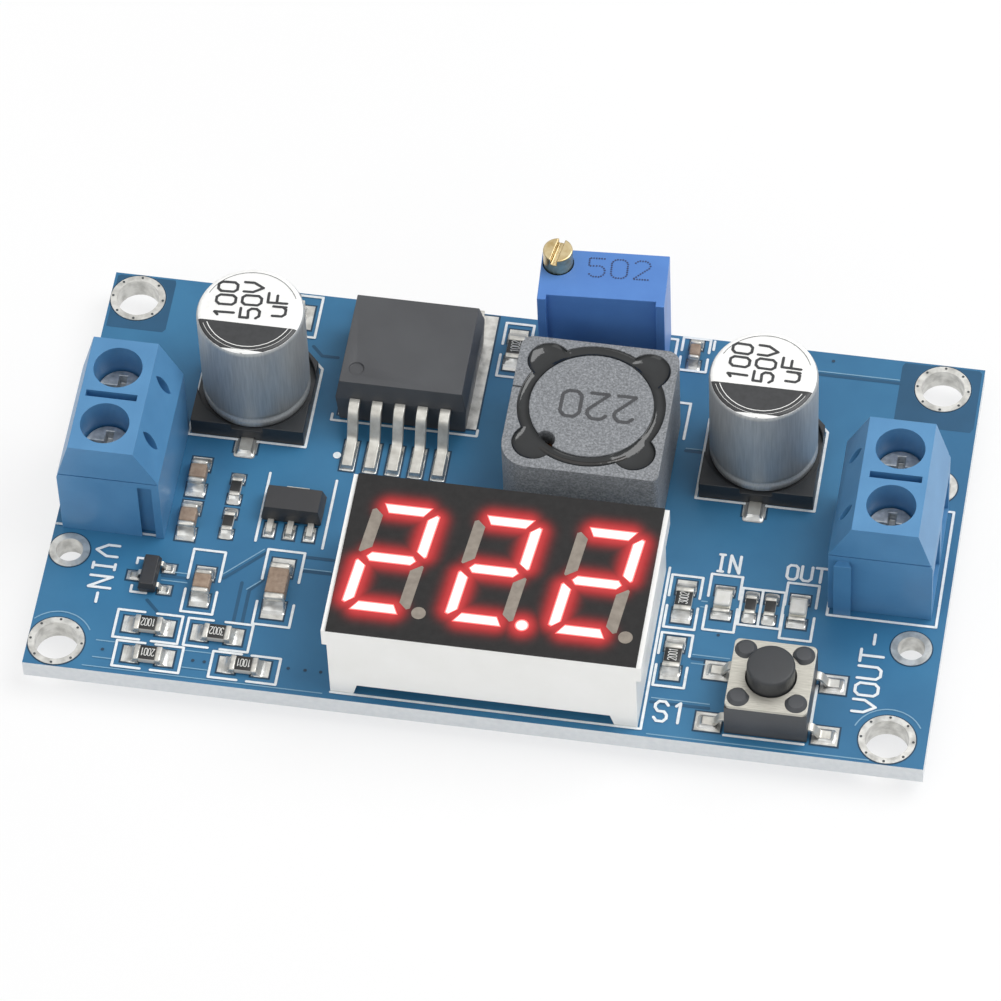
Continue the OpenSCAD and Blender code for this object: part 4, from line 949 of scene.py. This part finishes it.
class MODULE_OT_capacitors(bpy.types.Operator):
    """Electrolytic capacitors: cans, printed tops, moulded bases and leads"""
    bl_idname = "module.capacitors"
    bl_label = "Electrolytic capacitors"

    def execute(self, context):
        film = size(context.scene.module_print, "film")
        aluminium = drawn_aluminium()
        base = moulded_plastic("moulded_capacitor_base", "#2c2e31", "#242628", 0.45)
        white = screen_ink("white_can_lacquer", "#fbfbf9", "#f3f3f1", 0.4)
        black = screen_ink("black_can_lacquer", "#37383a", "#2f3031", 0.42)
        soft = 0.42
        for side, turn, chord in (("input", 2.7, -1.22), ("output", -1.5, -1.1)):
            node = side + "_capacitor_can"
            low, high = box(node)
            at, radius = (low + high)[:2] / 2, (high - low)[0] / 2
            piece(node + "_drawn", [lathe(can_profile(radius, low[2], high[2], soft), (*at, 0), 96)],
                  aluminium, replaces=[node])
            rounded(side + "_capacitor_base", base, 0.12)
            rim, z = radius - 0.12, high[2] + film
            r = np.concatenate([np.linspace(rim, radius - soft, 7), [0.0]])
            cap = lathe(np.stack([r, can_top(r, radius, z, soft)], -1), at=(*at, 0), n=96)
            # The black segment, row by row from its chord down to the rim's lowest point
            y = chord - (rim - 0.01 + chord) * (1 - np.cos(np.linspace(0, math.pi / 2, 13)))
            x = np.sqrt(np.maximum((rim - 0.01) ** 2 - y**2, 1e-6))[:, None] * np.sin(
                np.linspace(-1, 1, 25) * math.pi / 2)
            y = np.broadcast_to(y[:, None], x.shape)
            band = np.stack([x, y, can_top(np.hypot(x, y), radius, z + film, soft)], -1)
            a = np.linspace(math.pi * 1.13, math.pi * 1.87, 33)
            # Two pale arcs in the black segment, and a dark one along the far side of the white
            inner, outer = (lines(np.stack([np.cos(a), np.sin(a)], -1) * r) for r in (3.3, 3.6))
            far = lines(np.stack([np.cos(a - math.pi), np.sin(a - math.pi)], -1) * 3.5)
            marks = np.concatenate([word("100", (-1.9, 0.85), 1.42, 90, 0.9),
                                    word("50V", (0.0, 0.95), 1.42, 90, 0.9),
                                    word("uF", (1.9, 0.7), 1.42, 90, 0.9)])
            piece(side + "_capacitor_top", [cap], white, closed=False)
            piece(side + "_capacitor_marks", [
                grid((band + [*at, 0])[:, ::-1]), printed(turned(marks, turn, at), 0.21, z + film),
                printed(turned(far, turn, at), 0.04, z + film)],
                black, closed=False, crease=60)
            piece(side + "_capacitor_arcs", [printed(turned(inner, turn, at), 0.06, z + 2 * film),
                                             printed(turned(outer, turn, at), 0.03, z + 2 * film)],
                  white, closed=False)
        coat(dull_tin_plate(), "capacitor_leads")
        return {"FINISHED"}


class MODULE_OT_regulator(bpy.types.Operator):
    """Power package: moulded body, tinned tab and five formed leads"""
    bl_idname = "module.regulator"
    bl_label = "Regulator"

    def execute(self, context):
        tin = dull_tin_plate()
        rounded("regulator_body", moulded_epoxy(), 0.12)
        rounded("regulator_tab", tin, 0.08)
        rounded("regulator_leads", tin, 0.07, 2, 50)
        return {"FINISHED"}


def resin_ring(at, low, high, inner, outer, lobe_at, lobe_r, n=192, wall=0.3):
    """Potting resin round a core, with a round lobe in each corner of the shield.

    At a polar angle the outer wall stands at the greater of the opening's radius and the far
    side of the nearest lobe, d cos(f) + sqrt(r^2 - d^2 sin^2(f)), where d is the lobe's distance
    and f the angle from it. The surface climbs both walls as wall * exp(-s / 0.28), s being the
    distance from the wall.
    """
    a = np.arange(n) * 2 * math.pi / n
    d = math.hypot(*lobe_at)
    f = np.mod(a, math.pi / 2) - math.pi / 4
    reach = lobe_r**2 - (d * np.sin(f)) ** 2
    far = np.where(reach > 0, d * np.cos(f) + np.sqrt(np.maximum(reach, 0)), 0)
    wide = np.maximum(outer, far)
    t = 0.5 - 0.5 * np.cos(np.linspace(0, math.pi, 15))[:, None]
    radius = inner * (1 - t) + wide * t
    height = high - wall + wall * (np.exp((inner - radius) / 0.28) + np.exp((radius - wide) / 0.28))
    rows = [np.full(n, low)[None], np.minimum(height, high), np.full(n, low)[None]]
    radii = np.concatenate([radius[:1], radius, radius[-1:]])
    Z = np.concatenate(rows)
    ring = np.stack([at[0] + radii * np.cos(a), at[1] + radii * np.sin(a), Z], -1)
    return grid(np.concatenate([ring, ring[:1]]), wrap=True)


class MODULE_OT_inductor(bpy.types.Operator):
    """Shielded inductor: ferrite, winding and its two ends, potting resin and the mark"""
    bl_idname = "module.inductor"
    bl_label = "Inductor"

    def execute(self, context):
        film = size(context.scene.module_print, "film")
        ferrite = sintered_ferrite()
        rounded("inductor_shield", ferrite, 0.12)
        rounded("inductor_core", ferrite, 0.12)
        coat(enamelled_copper(), "inductor_winding")
        coat(dull_tin_plate(), "inductor_terminals")
        low, high = box("inductor_resin")
        at, top = (low + high)[:2] / 2, high[2]
        resin = cast_resin("cast_resin", "#1f2224", "#161819", 0.1, 0.9, 0.03)
        piece("inductor_resin_cast", [resin_ring(at, low[2], top + 0.3, 4.6, 5.42, (3.7, 3.7), 1.57)], resin,
              body=BODY_OF["inductor_resin"],
              replaces=["inductor_resin"], crease=50)
        # The winding's two ends run round the core and leave by the front lobes
        a = np.radians(np.linspace(232, 309, 28))
        b = np.radians(np.linspace(238, 297, 24))
        rise = 0.1 * np.sin(np.linspace(0, math.pi, 28))
        first = np.stack([at[0] + 5.02 * np.cos(a), at[1] + 5.02 * np.sin(a), top - 0.12 + rise], -1)
        second = np.stack([at[0] + 5.08 * np.cos(b), at[1] + 5.08 * np.sin(b), np.full(24, top - 0.22)], -1)
        t = np.linspace(0, 1, 12)[:, None]
        tail = first[0] + t * [-0.5, 0.15, -0.9] + np.sin(t * math.pi) * [-0.35, -0.3, 0.15]
        piece("inductor_wire", [tube(first, 0.24), tube(second, 0.22), tube(tail, 0.22)],
              cast_resin("resin_on_wire", "#2a2725", "#1b1a1a", 0.08, 0.5, 0.03),
              crease=60)
        middle = centre("inductor_core")
        mark = dotted_word("220", (middle[0] + 0.5, middle[1] - 0.02), 2.3, 180, 0.93, 0.3,
                           box("inductor_core")[1, 2] + film)
        piece("inductor_mark", [mark], screen_ink("grey_mark_ink", "#47484b", "#3c3d40"),
              closed=False)
        return {"FINISHED"}


class MODULE_OT_trimmer(bpy.types.Operator):
    """Multi-turn trimmer: housing, dotted value, brass screw and pins"""
    bl_idname = "module.trimmer"
    bl_label = "Trimmer"

    def execute(self, context):
        colours, film = context.scene.module_colours, size(context.scene.module_print, "film")
        nylon = moulded_plastic("moulded_trimmer", colours.trimmer, colours.trimmer_dark, 0.4, 0.15, 0.006)
        rounded("trimmer_housing", nylon, 0.12)
        rounded("trimmer_screw", turned_brass(), 0.12)
        coat(cast_resin("seal_resin", "#8d7d55", "#7a6c48", 0.4, 0.5, 0.01), "trimmer_seal")
        coat(dull_tin_plate(), "trimmer_pins")
        middle = centre("trimmer_housing")[:2] + [1.05, 0.94]
        value = dotted_word("502", middle, 1.7, 3.3, 1.05, 0.15, box("trimmer_housing")[1, 2] + film)
        piece("trimmer_value", [value], screen_ink("dark_value_ink", "#35456f", "#2c3a61"),
              closed=False)
        return {"FINISHED"}


def bar_corners(key, hx, hy, s):
    """Corners of one bar of a digit about the digit's middle, and the two ends of its spine.

    a, g and d are level from top to bottom, f and b the upper uprights, e and c the lower ones.
    """
    ax, gx, top, low = hx - 0.7, hx - 0.65, hy - 0.55, 0.3
    if key in "ad":
        points = np.array([(-ax, hy), (ax, hy), (ax - 0.52, hy - s), (0.52 - ax, hy - s)])
        spine = np.array([(-ax + 0.6, hy - s / 2), (ax - 0.6, hy - s / 2)])
    elif key == "g":
        points = np.array([(-gx, 0), (0.35 - gx, s / 2), (gx - 0.35, s / 2),
                           (gx, 0), (gx - 0.35, -s / 2), (0.35 - gx, -s / 2)])
        spine = np.array([(-gx + s / 2, 0), (gx - s / 2, 0)])
    else:
        points = np.array([(hx, top - s / 7), (hx, low + s / 7), (hx - s / 6, low), (hx - s, low + 0.55),
                           (hx - s, top - 0.55), (hx - s / 3.5, top)])
        spine = np.array([(hx - s / 2, top - 0.5), (hx - s / 2, low + 0.5)])
    flip = {"d": (1, -1), "c": (1, -1), "f": (-1, 1), "e": (-1, -1)}.get(key, (1, 1))
    return points * flip, spine * flip


def bar_surface(corners, spine, z, steps=7, rows=6):
    """A bar as rings that shrink from its outline to its spine, and how near each lies to it."""
    x, y = corners.T
    if x @ np.roll(y, -1) < y @ np.roll(x, -1):
        corners = corners[::-1]
    t = np.linspace(0, 1, steps, endpoint=False)[:, None]
    rim = np.concatenate([a * (1 - t) + b * t for a, b in zip(corners, np.roll(corners, -1, 0))])
    way = spine[1] - spine[0]
    share = np.clip((rim - spine[0]) @ way / (way @ way), 0, 1)[:, None]
    core = spine[0] + share * way
    s = np.linspace(0, 1, rows)[:, None, None]
    points = rim * (1 - s) + core * s
    surface = grid(np.concatenate([points, np.full(points.shape[:2] + (1,), z)], 2), wrap=True)
    return surface, np.repeat(s.ravel(), len(rim))


class MODULE_OT_display(bpy.types.Operator):
    """Three-digit display: white moulding, black face with its glow, lit and unlit bars"""
    bl_idname = "module.display"
    bl_label = "Display"

    def execute(self, context):
        d = context.scene.module_digits
        w, h, s = (size(d, k) for k in ("width", "height", "bar"))
        film = size(context.scene.module_print, "film")
        low, high = box("display_face")
        middle = (low + high) / 2 + [-0.12, -0.18, 0]
        lean = math.tan(d.slant)
        z = high[2] + 2 * film
        lit, unlit, spines = [], [], []
        for i in (-1, 0, 1):
            at = middle[:2] + [i * size(d, "pitch"), 0]
            for key in "abcdefg":
                corners, spine = bar_corners(key, w / 2, h / 2, s)
                corners, spine = (p + np.stack([p[:, 1] * lean, 0 * p[:, 0]], -1) + at
                                  for p in (corners, spine))
                if key in "abdeg":
                    lit.append(bar_surface(corners, spine, z))
                    spines.append(spine)
                else:
                    unlit.append(bar_surface(corners, spine, z))
            a = np.arange(24) * math.pi / 12
            dot = at + [2.75, -4.43]
            ring = dot + 0.525 * np.stack([np.cos(a), np.sin(a)], -1)
            spine = np.array([dot - [0.01, 0], dot + [0.01, 0]])
            (lit if i == 0 else unlit).append(bar_surface(ring, spine, z, 1))
            if i == 0:
                spines.append(spine)
        piece("display_bars_lit", [b[0] for b in lit], lit_resin_bar(),
              replaces=["display_lit_segments"], glow=np.concatenate([b[1] for b in lit]), closed=False)
        piece("display_bars_unlit", [b[0] for b in unlit], unlit_resin_bar(),
              replaces=["display_unlit_segments"], closed=False)
        # Face as a fine grid whose rim turns down; its glow fades with the distance from the bars
        x, y = np.linspace(low[0], high[0], 261), np.linspace(low[1], high[1], 161)
        X, Y = np.meshgrid(np.pad(x, 1, "edge"), np.pad(y, 1, "edge"), indexing="ij")
        Z = np.pad(np.full((261, 161), high[2] + film), 1, constant_values=low[2])
        P = np.stack([X, Y], -1)
        near = np.full(X.shape, 1e3)
        for a, b in spines:
            t = np.clip((P - a) @ (b - a) / ((b - a) @ (b - a)), 0, 1)[..., None]
            near = np.minimum(near, np.linalg.norm(P - a - t * (b - a), axis=-1))
        glow = np.exp(-(np.maximum(near - s / 2, 0) / size(d, "spread")) ** 2)
        piece("display_face_printed", [grid(np.stack([X, Y, Z], -1)[::-1])], printed_display_face(),
              replaces=["display_face"], glow=glow[::-1], closed=False)
        white = moulded_plastic("white_display_moulding", "#f8f8f6", "#f3f3f0", 0.4, 0.3, 0.004)
        rounded("display_housing", white, 0.1)
        coat(moulded_plastic("display_laminate_board", "#d6cfb0", "#c8c09e", 0.5), "display_board")
        coat(dull_tin_plate(), "display_pins")
        return {"FINISHED"}


def snap_dome(low, high, thick):
    """A sprung metal dome between those corners: two spherical caps about one middle. A cap that
    rises by h over a circle of radius r has the radius (r^2 + h^2) / 2h."""
    r, rise = (high - low)[0] / 2, (high - low)[2] - thick
    ball = (r**2 + rise**2) / (2 * rise)
    a = np.linspace(math.asin(r / ball), 0, 13)
    outer = np.stack([ball * np.sin(a), high[2] - ball + ball * np.cos(a)], -1)
    inner = np.stack([(ball - thick) * np.sin(a), high[2] - ball + (ball - thick) * np.cos(a)], -1)
    return lathe(np.concatenate([outer, inner[::-1], outer[:1]]), (*(low + high)[:2] / 2, 0), 40)


class MODULE_OT_switch(bpy.types.Operator):
    """Push button: moulded base, steel cover held by four rivets, plunger and legs"""
    bl_idname = "module.switch"
    bl_label = "Push button"

    def execute(self, context):
        black = moulded_plastic("moulded_switch_base", "#484a4e", "#3e4043", 0.45)
        rounded("switch_base", black, 0.1)
        rounded("switch_cover", satin_steel_sheet(), 0.06)
        rounded("switch_plunger", moulded_plastic("moulded_plunger", "#393b3e", "#313335", 0.5), 0.15)
        low, high = box("switch_dome")
        dome = piece("switch_dome_sprung", [snap_dome(low, high, 0.08)], zinc_plated_steel(),
                     replaces=["switch_dome"])
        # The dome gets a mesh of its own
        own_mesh(dome)
        rounded("switch_terminals", dull_tin_plate(), 0.04, 2, 50)
        return {"FINISHED"}


def capped_chips(bodies, ends, finish, metal, radius=0.06, bulge=0.02):
    """Chip parts: a rounded body for each solid of one node and a rounded, slightly larger metal
    end for each solid of the other."""
    piece(bodies + "_fired", [soft_box(low, high - [0, 0, bulge], radius) for low, high in solids(bodies)],
          finish, replaces=[bodies], crease=50)
    grow = np.array([bulge, bulge, 0])
    piece(ends + "_plated", [soft_box(low - grow, high + grow, 1.6 * radius) for low, high in solids(ends)],
          metal, replaces=[ends], crease=50)


def fillets(bodies, ends, ahead, side, climb):
    """Solder for each end of chip parts: it climbs the outer face and thins out to the pad's edge."""
    middles = solids(bodies).mean(1)
    made = []
    for low, high in solids(ends):
        middle = (low + high) / 2
        nearest = middles[np.argmin(np.linalg.norm(middles - middle, axis=1))]
        out = main_way(middle[:2] - nearest[:2])
        grow = np.where(out != 0, ahead, side)
        back = np.where(out != 0, -0.05, side)
        made.append(mound(low, high, np.where(out < 0, grow, back), np.where(out > 0, grow, back),
                          (high - low)[2] * climb, TOP + 0.05, out))
    return made


class MODULE_OT_chips(bpy.types.Operator):
    """Chip resistors, ceramic capacitors and LEDs, with the marks on the resistors"""
    bl_idname = "module.chips"
    bl_label = "Chip parts"

    def execute(self, context):
        film = size(context.scene.module_print, "film")
        tin = levelled_tin("chip_end_tin", "#dedbd3", 0.3, 0.3, 0.008)
        capped_chips("resistor_bodies", "resistor_ends", glazed_alumina(), tin)
        capped_chips("ceramic_capacitor_bodies", "ceramic_capacitor_ends", fired_ceramic(), tin,
                     0.12)
        capped_chips("led_bodies", "led_ends", moulded_plastic("led_carrier", "#f0eee4", "#e4e1d4", 0.5),
                     tin)
        piece("led_lenses_cast", [soft_box(low, high, 0.3, 5) for low, high in solids("led_lenses")],
              clear_epoxy(), replaces=["led_lenses"], crease=60)
        marks = []
        ends = solids("resistor_ends").mean(1)
        for i, (low, high) in enumerate(b for b in solids("resistor_bodies") if (b[1] - b[0])[:2].max() > 1.2):
            way = ends[np.argmin(np.linalg.norm(ends - (low + high) / 2, axis=1))] - (low + high) / 2
            upright = abs(way[1]) > abs(way[0])
            value = ("1002", "2001", "3002", "1001")[i % 4]
            marks.append(printed(word(value, (low + high)[:2] / 2, 0.62, 90 if upright else 180, 0.46), 0.06,
                                 high[2] + film))
        piece("resistor_values", marks, screen_ink("resistor_value_ink", "#e4e4e0", "#d4d4d0"),
              closed=False)
        return {"FINISHED"}


class MODULE_OT_packages(bpy.types.Operator):
    """Diode, transistor, reference and the display's controller"""
    bl_idname = "module.packages"
    bl_label = "Small packages"

    def execute(self, context):
        epoxy = moulded_epoxy()
        dark = moulded_plastic("moulded_epoxy_dark", "#343436", "#2c2c2e", 0.45, 0.08, 0.006, 1.55)
        tin = dull_tin_plate()
        for node, finish in (("diode", epoxy), ("transistor", dark), ("reference", dark),
                             ("controller", dark)):
            rounded(node + "_body", finish, 0.06)
            rounded(node + "_leads", tin, 0.03, 2, 50)
        return {"FINISHED"}


# Length of the soldered foot of a small package's lead
FOOT = 0.5


class MODULE_OT_solder(bpy.types.Operator):
    """Solder on the pads: concave fillets at every foot and chip end"""
    bl_idname = "module.solder"
    bl_label = "Solder"

    def execute(self, context):
        sizes = context.scene.module_solder
        side, climb = size(sizes, "side"), sizes.climb
        pad = TOP + 0.05
        parts = []
        for kind, ends, ahead in (("resistor_bodies", "resistor_ends", 0.62),
                                  ("ceramic_capacitor_bodies", "ceramic_capacitor_ends", 0.72),
                                  ("led_bodies", "led_ends", 0.45)):
            parts += fillets(kind, ends, ahead, side, climb)
        for low, high in solids("regulator_leads"):
            foot = np.array([high[0], low[1] + 2.1])
            parts.append(mound(low, foot, (side, 0.22), (side, 0.1), 0.32, pad, (0, -1)))
        for low, high in solids("switch_terminals"):
            out = np.sign((low + high)[0] / 2 - centre("switch_base")[0])
            a, b = (high[0] - 0.8, high[0]) if out > 0 else (low[0], low[0] + 0.8)
            parts.append(mound((a, low[1]), (b, high[1]), (0.35, 0.25), (0.35, 0.25), 0.3, pad, (out, 0)))
        for low, high in solids("capacitor_leads"):
            out = 1 if (low + high)[1] / 2 > box("input_capacitor_base")[:, 1].mean() else -1
            end = ((low[0], high[1] - 1.1), high[:2]) if out > 0 else (low[:2], (high[0], low[1] + 1.1))
            parts.append(mound(*end, (0.35, 0.5), (0.35, 0.5), 0.32, pad, (0, out)))
        for node in ("transistor_leads", "reference_leads", "diode_leads"):
            middle = centre(node.replace("leads", "body"))
            for low, high in solids(node):
                out = main_way((low + high)[:2] / 2 - middle[:2])
                a = np.where(out > 0, high[:2] - FOOT, low[:2])
                b = np.where(out < 0, low[:2] + FOOT, high[:2])
                parts.append(mound(a, b, 0.2, 0.2, 0.22, pad, out))
        piece("solder_fillets", parts, levelled_tin("reflowed_solder", "#d4d5d3", 0.2, 0.5, 0.015),
              closed=False, crease=60)
        return {"FINISHED"}


class MODULE_OT_stage(bpy.types.Operator):
    """Camera, plain white floor, soft lamps and even light from all round"""
    bl_idname = "module.stage"
    bl_label = "Stage"

    def execute(self, context):
        stage = context.scene.module_stage
        camera = bpy.data.cameras.new("camera")
        camera.lens, camera.sensor_width = stage.lens, 36
        camera.clip_start, camera.clip_end = 0.01, 10
        eye = bpy.data.objects.new("camera", camera)
        eye.location = (0.063214, -0.310409, 0.447137)
        eye.rotation_euler = [math.radians(a) for a in (35.5761, 1.6753, 9.2783)]
        context.scene.collection.objects.link(eye)
        context.scene.camera = eye
        for name, power, width, at in (("key", stage.key, 0.5, (0.33, 0.14, 0.56)),
                                       ("fill", stage.fill, 0.5, (-0.3, -0.5, 0.4))):
            lamp = bpy.data.lights.new(name, "AREA")
            lamp.energy, lamp.size = power, width
            made = bpy.data.objects.new(name, lamp)
            made.location = at
            made.rotation_euler = (-made.location).to_track_quat("-Z", "Y").to_euler()
            context.scene.collection.objects.link(made)
        floor = bpy.data.meshes.new("floor")
        points, faces = grid(np.stack(np.meshgrid(np.linspace(-1.5, 1.5, 9), np.linspace(-1.5, 1.5, 9), [0.0],
                                                  indexing="ij"), -1)[::-1, :, 0])
        floor.from_pydata(points.tolist(), [], faces.tolist())
        floor.materials.append(white_backdrop())
        ground = bpy.data.objects.new("floor", floor)
        context.scene.collection.objects.link(ground)
        world = bpy.data.worlds.new("studio")
        context.scene.world = world
        world.use_nodes = True
        tree = world.node_tree
        ray = add(tree, "LightPath")
        mirrored = add(tree, "Math", {"operation": "MAXIMUM"},
                       {0: (ray, "Is Glossy Ray"), 1: (ray, "Is Transmission Ray")})
        way = add(tree, "SeparateXYZ", {}, {"Vector": (add(tree, "TexCoord"), "Generated")})
        wall = add(tree, "ValToRGB", {"ramp": [(0.0, "#9a9a9a"), (0.5, "#cfcfcf"), (0.85, "#ffffff")]},
                   {"Fac": (way, "Z")})
        even = add(tree, "Background", {"Color": (1, 1, 1, 1), "Strength": stage.sky})
        room = add(tree, "Background", {"Strength": 1.0}, {"Color": wall})
        paper = add(tree, "Background", {"Color": (1, 1, 1, 1), "Strength": 1.0})
        mix = add(tree, "MixShader", {}, {0: mirrored, 1: even, 2: room})
        mix = add(tree, "MixShader", {}, {0: (ray, "Is Camera Ray"), 1: mix, 2: paper})
        join(tree, tree.nodes["World Output"], {"Surface": mix})
        context.scene.view_settings.view_transform = "Standard"
        return {"FINISHED"}


class MODULE_PT_pieces(bpy.types.Panel):
    """Lists the module's pieces and their sizes in the sidebar"""
    bl_idname = "MODULE_PT_pieces"
    bl_label = "Buck converter module"
    bl_space_type = "VIEW_3D"
    bl_region_type = "UI"
    bl_category = "Converter"

    def draw(self, context):
        for operator in OPERATORS:
            self.layout.operator(operator.bl_idname)
        for name, group in GROUPS.items():
            part = self.layout.box()
            for key in group.__annotations__:
                part.prop(getattr(context.scene, name), key)


GROUPS = {"module_colours": ModuleColours, "module_print": ModulePrint, "module_digits": ModuleDigits,
          "module_solder": ModuleSolder, "module_stage": ModuleStage}
OPERATORS = [MODULE_OT_stage, MODULE_OT_board, MODULE_OT_print, MODULE_OT_terminals, MODULE_OT_capacitors,
             MODULE_OT_regulator, MODULE_OT_inductor, MODULE_OT_trimmer, MODULE_OT_display,
             MODULE_OT_switch, MODULE_OT_chips, MODULE_OT_packages, MODULE_OT_solder]


def register():
    """Registers the classes and puts the property groups on the scene."""
    for made in (*GROUPS.values(), *OPERATORS, MODULE_PT_pieces):
        bpy.utils.register_class(made)
    for name, group in GROUPS.items():
        setattr(bpy.types.Scene, name, PointerProperty(type=group))


def unregister():
    """Takes the property groups off the scene and unregisters the classes."""
    for name in GROUPS:
        delattr(bpy.types.Scene, name)
    for made in reversed((*GROUPS.values(), *OPERATORS, MODULE_PT_pieces)):
        bpy.utils.unregister_class(made)


def main():
    """Builds every piece in order."""
    register()
    for operator in OPERATORS:
        family, name = operator.bl_idname.split(".")
        getattr(getattr(bpy.ops, family), name)()


if __name__ == "__main__":
    main()
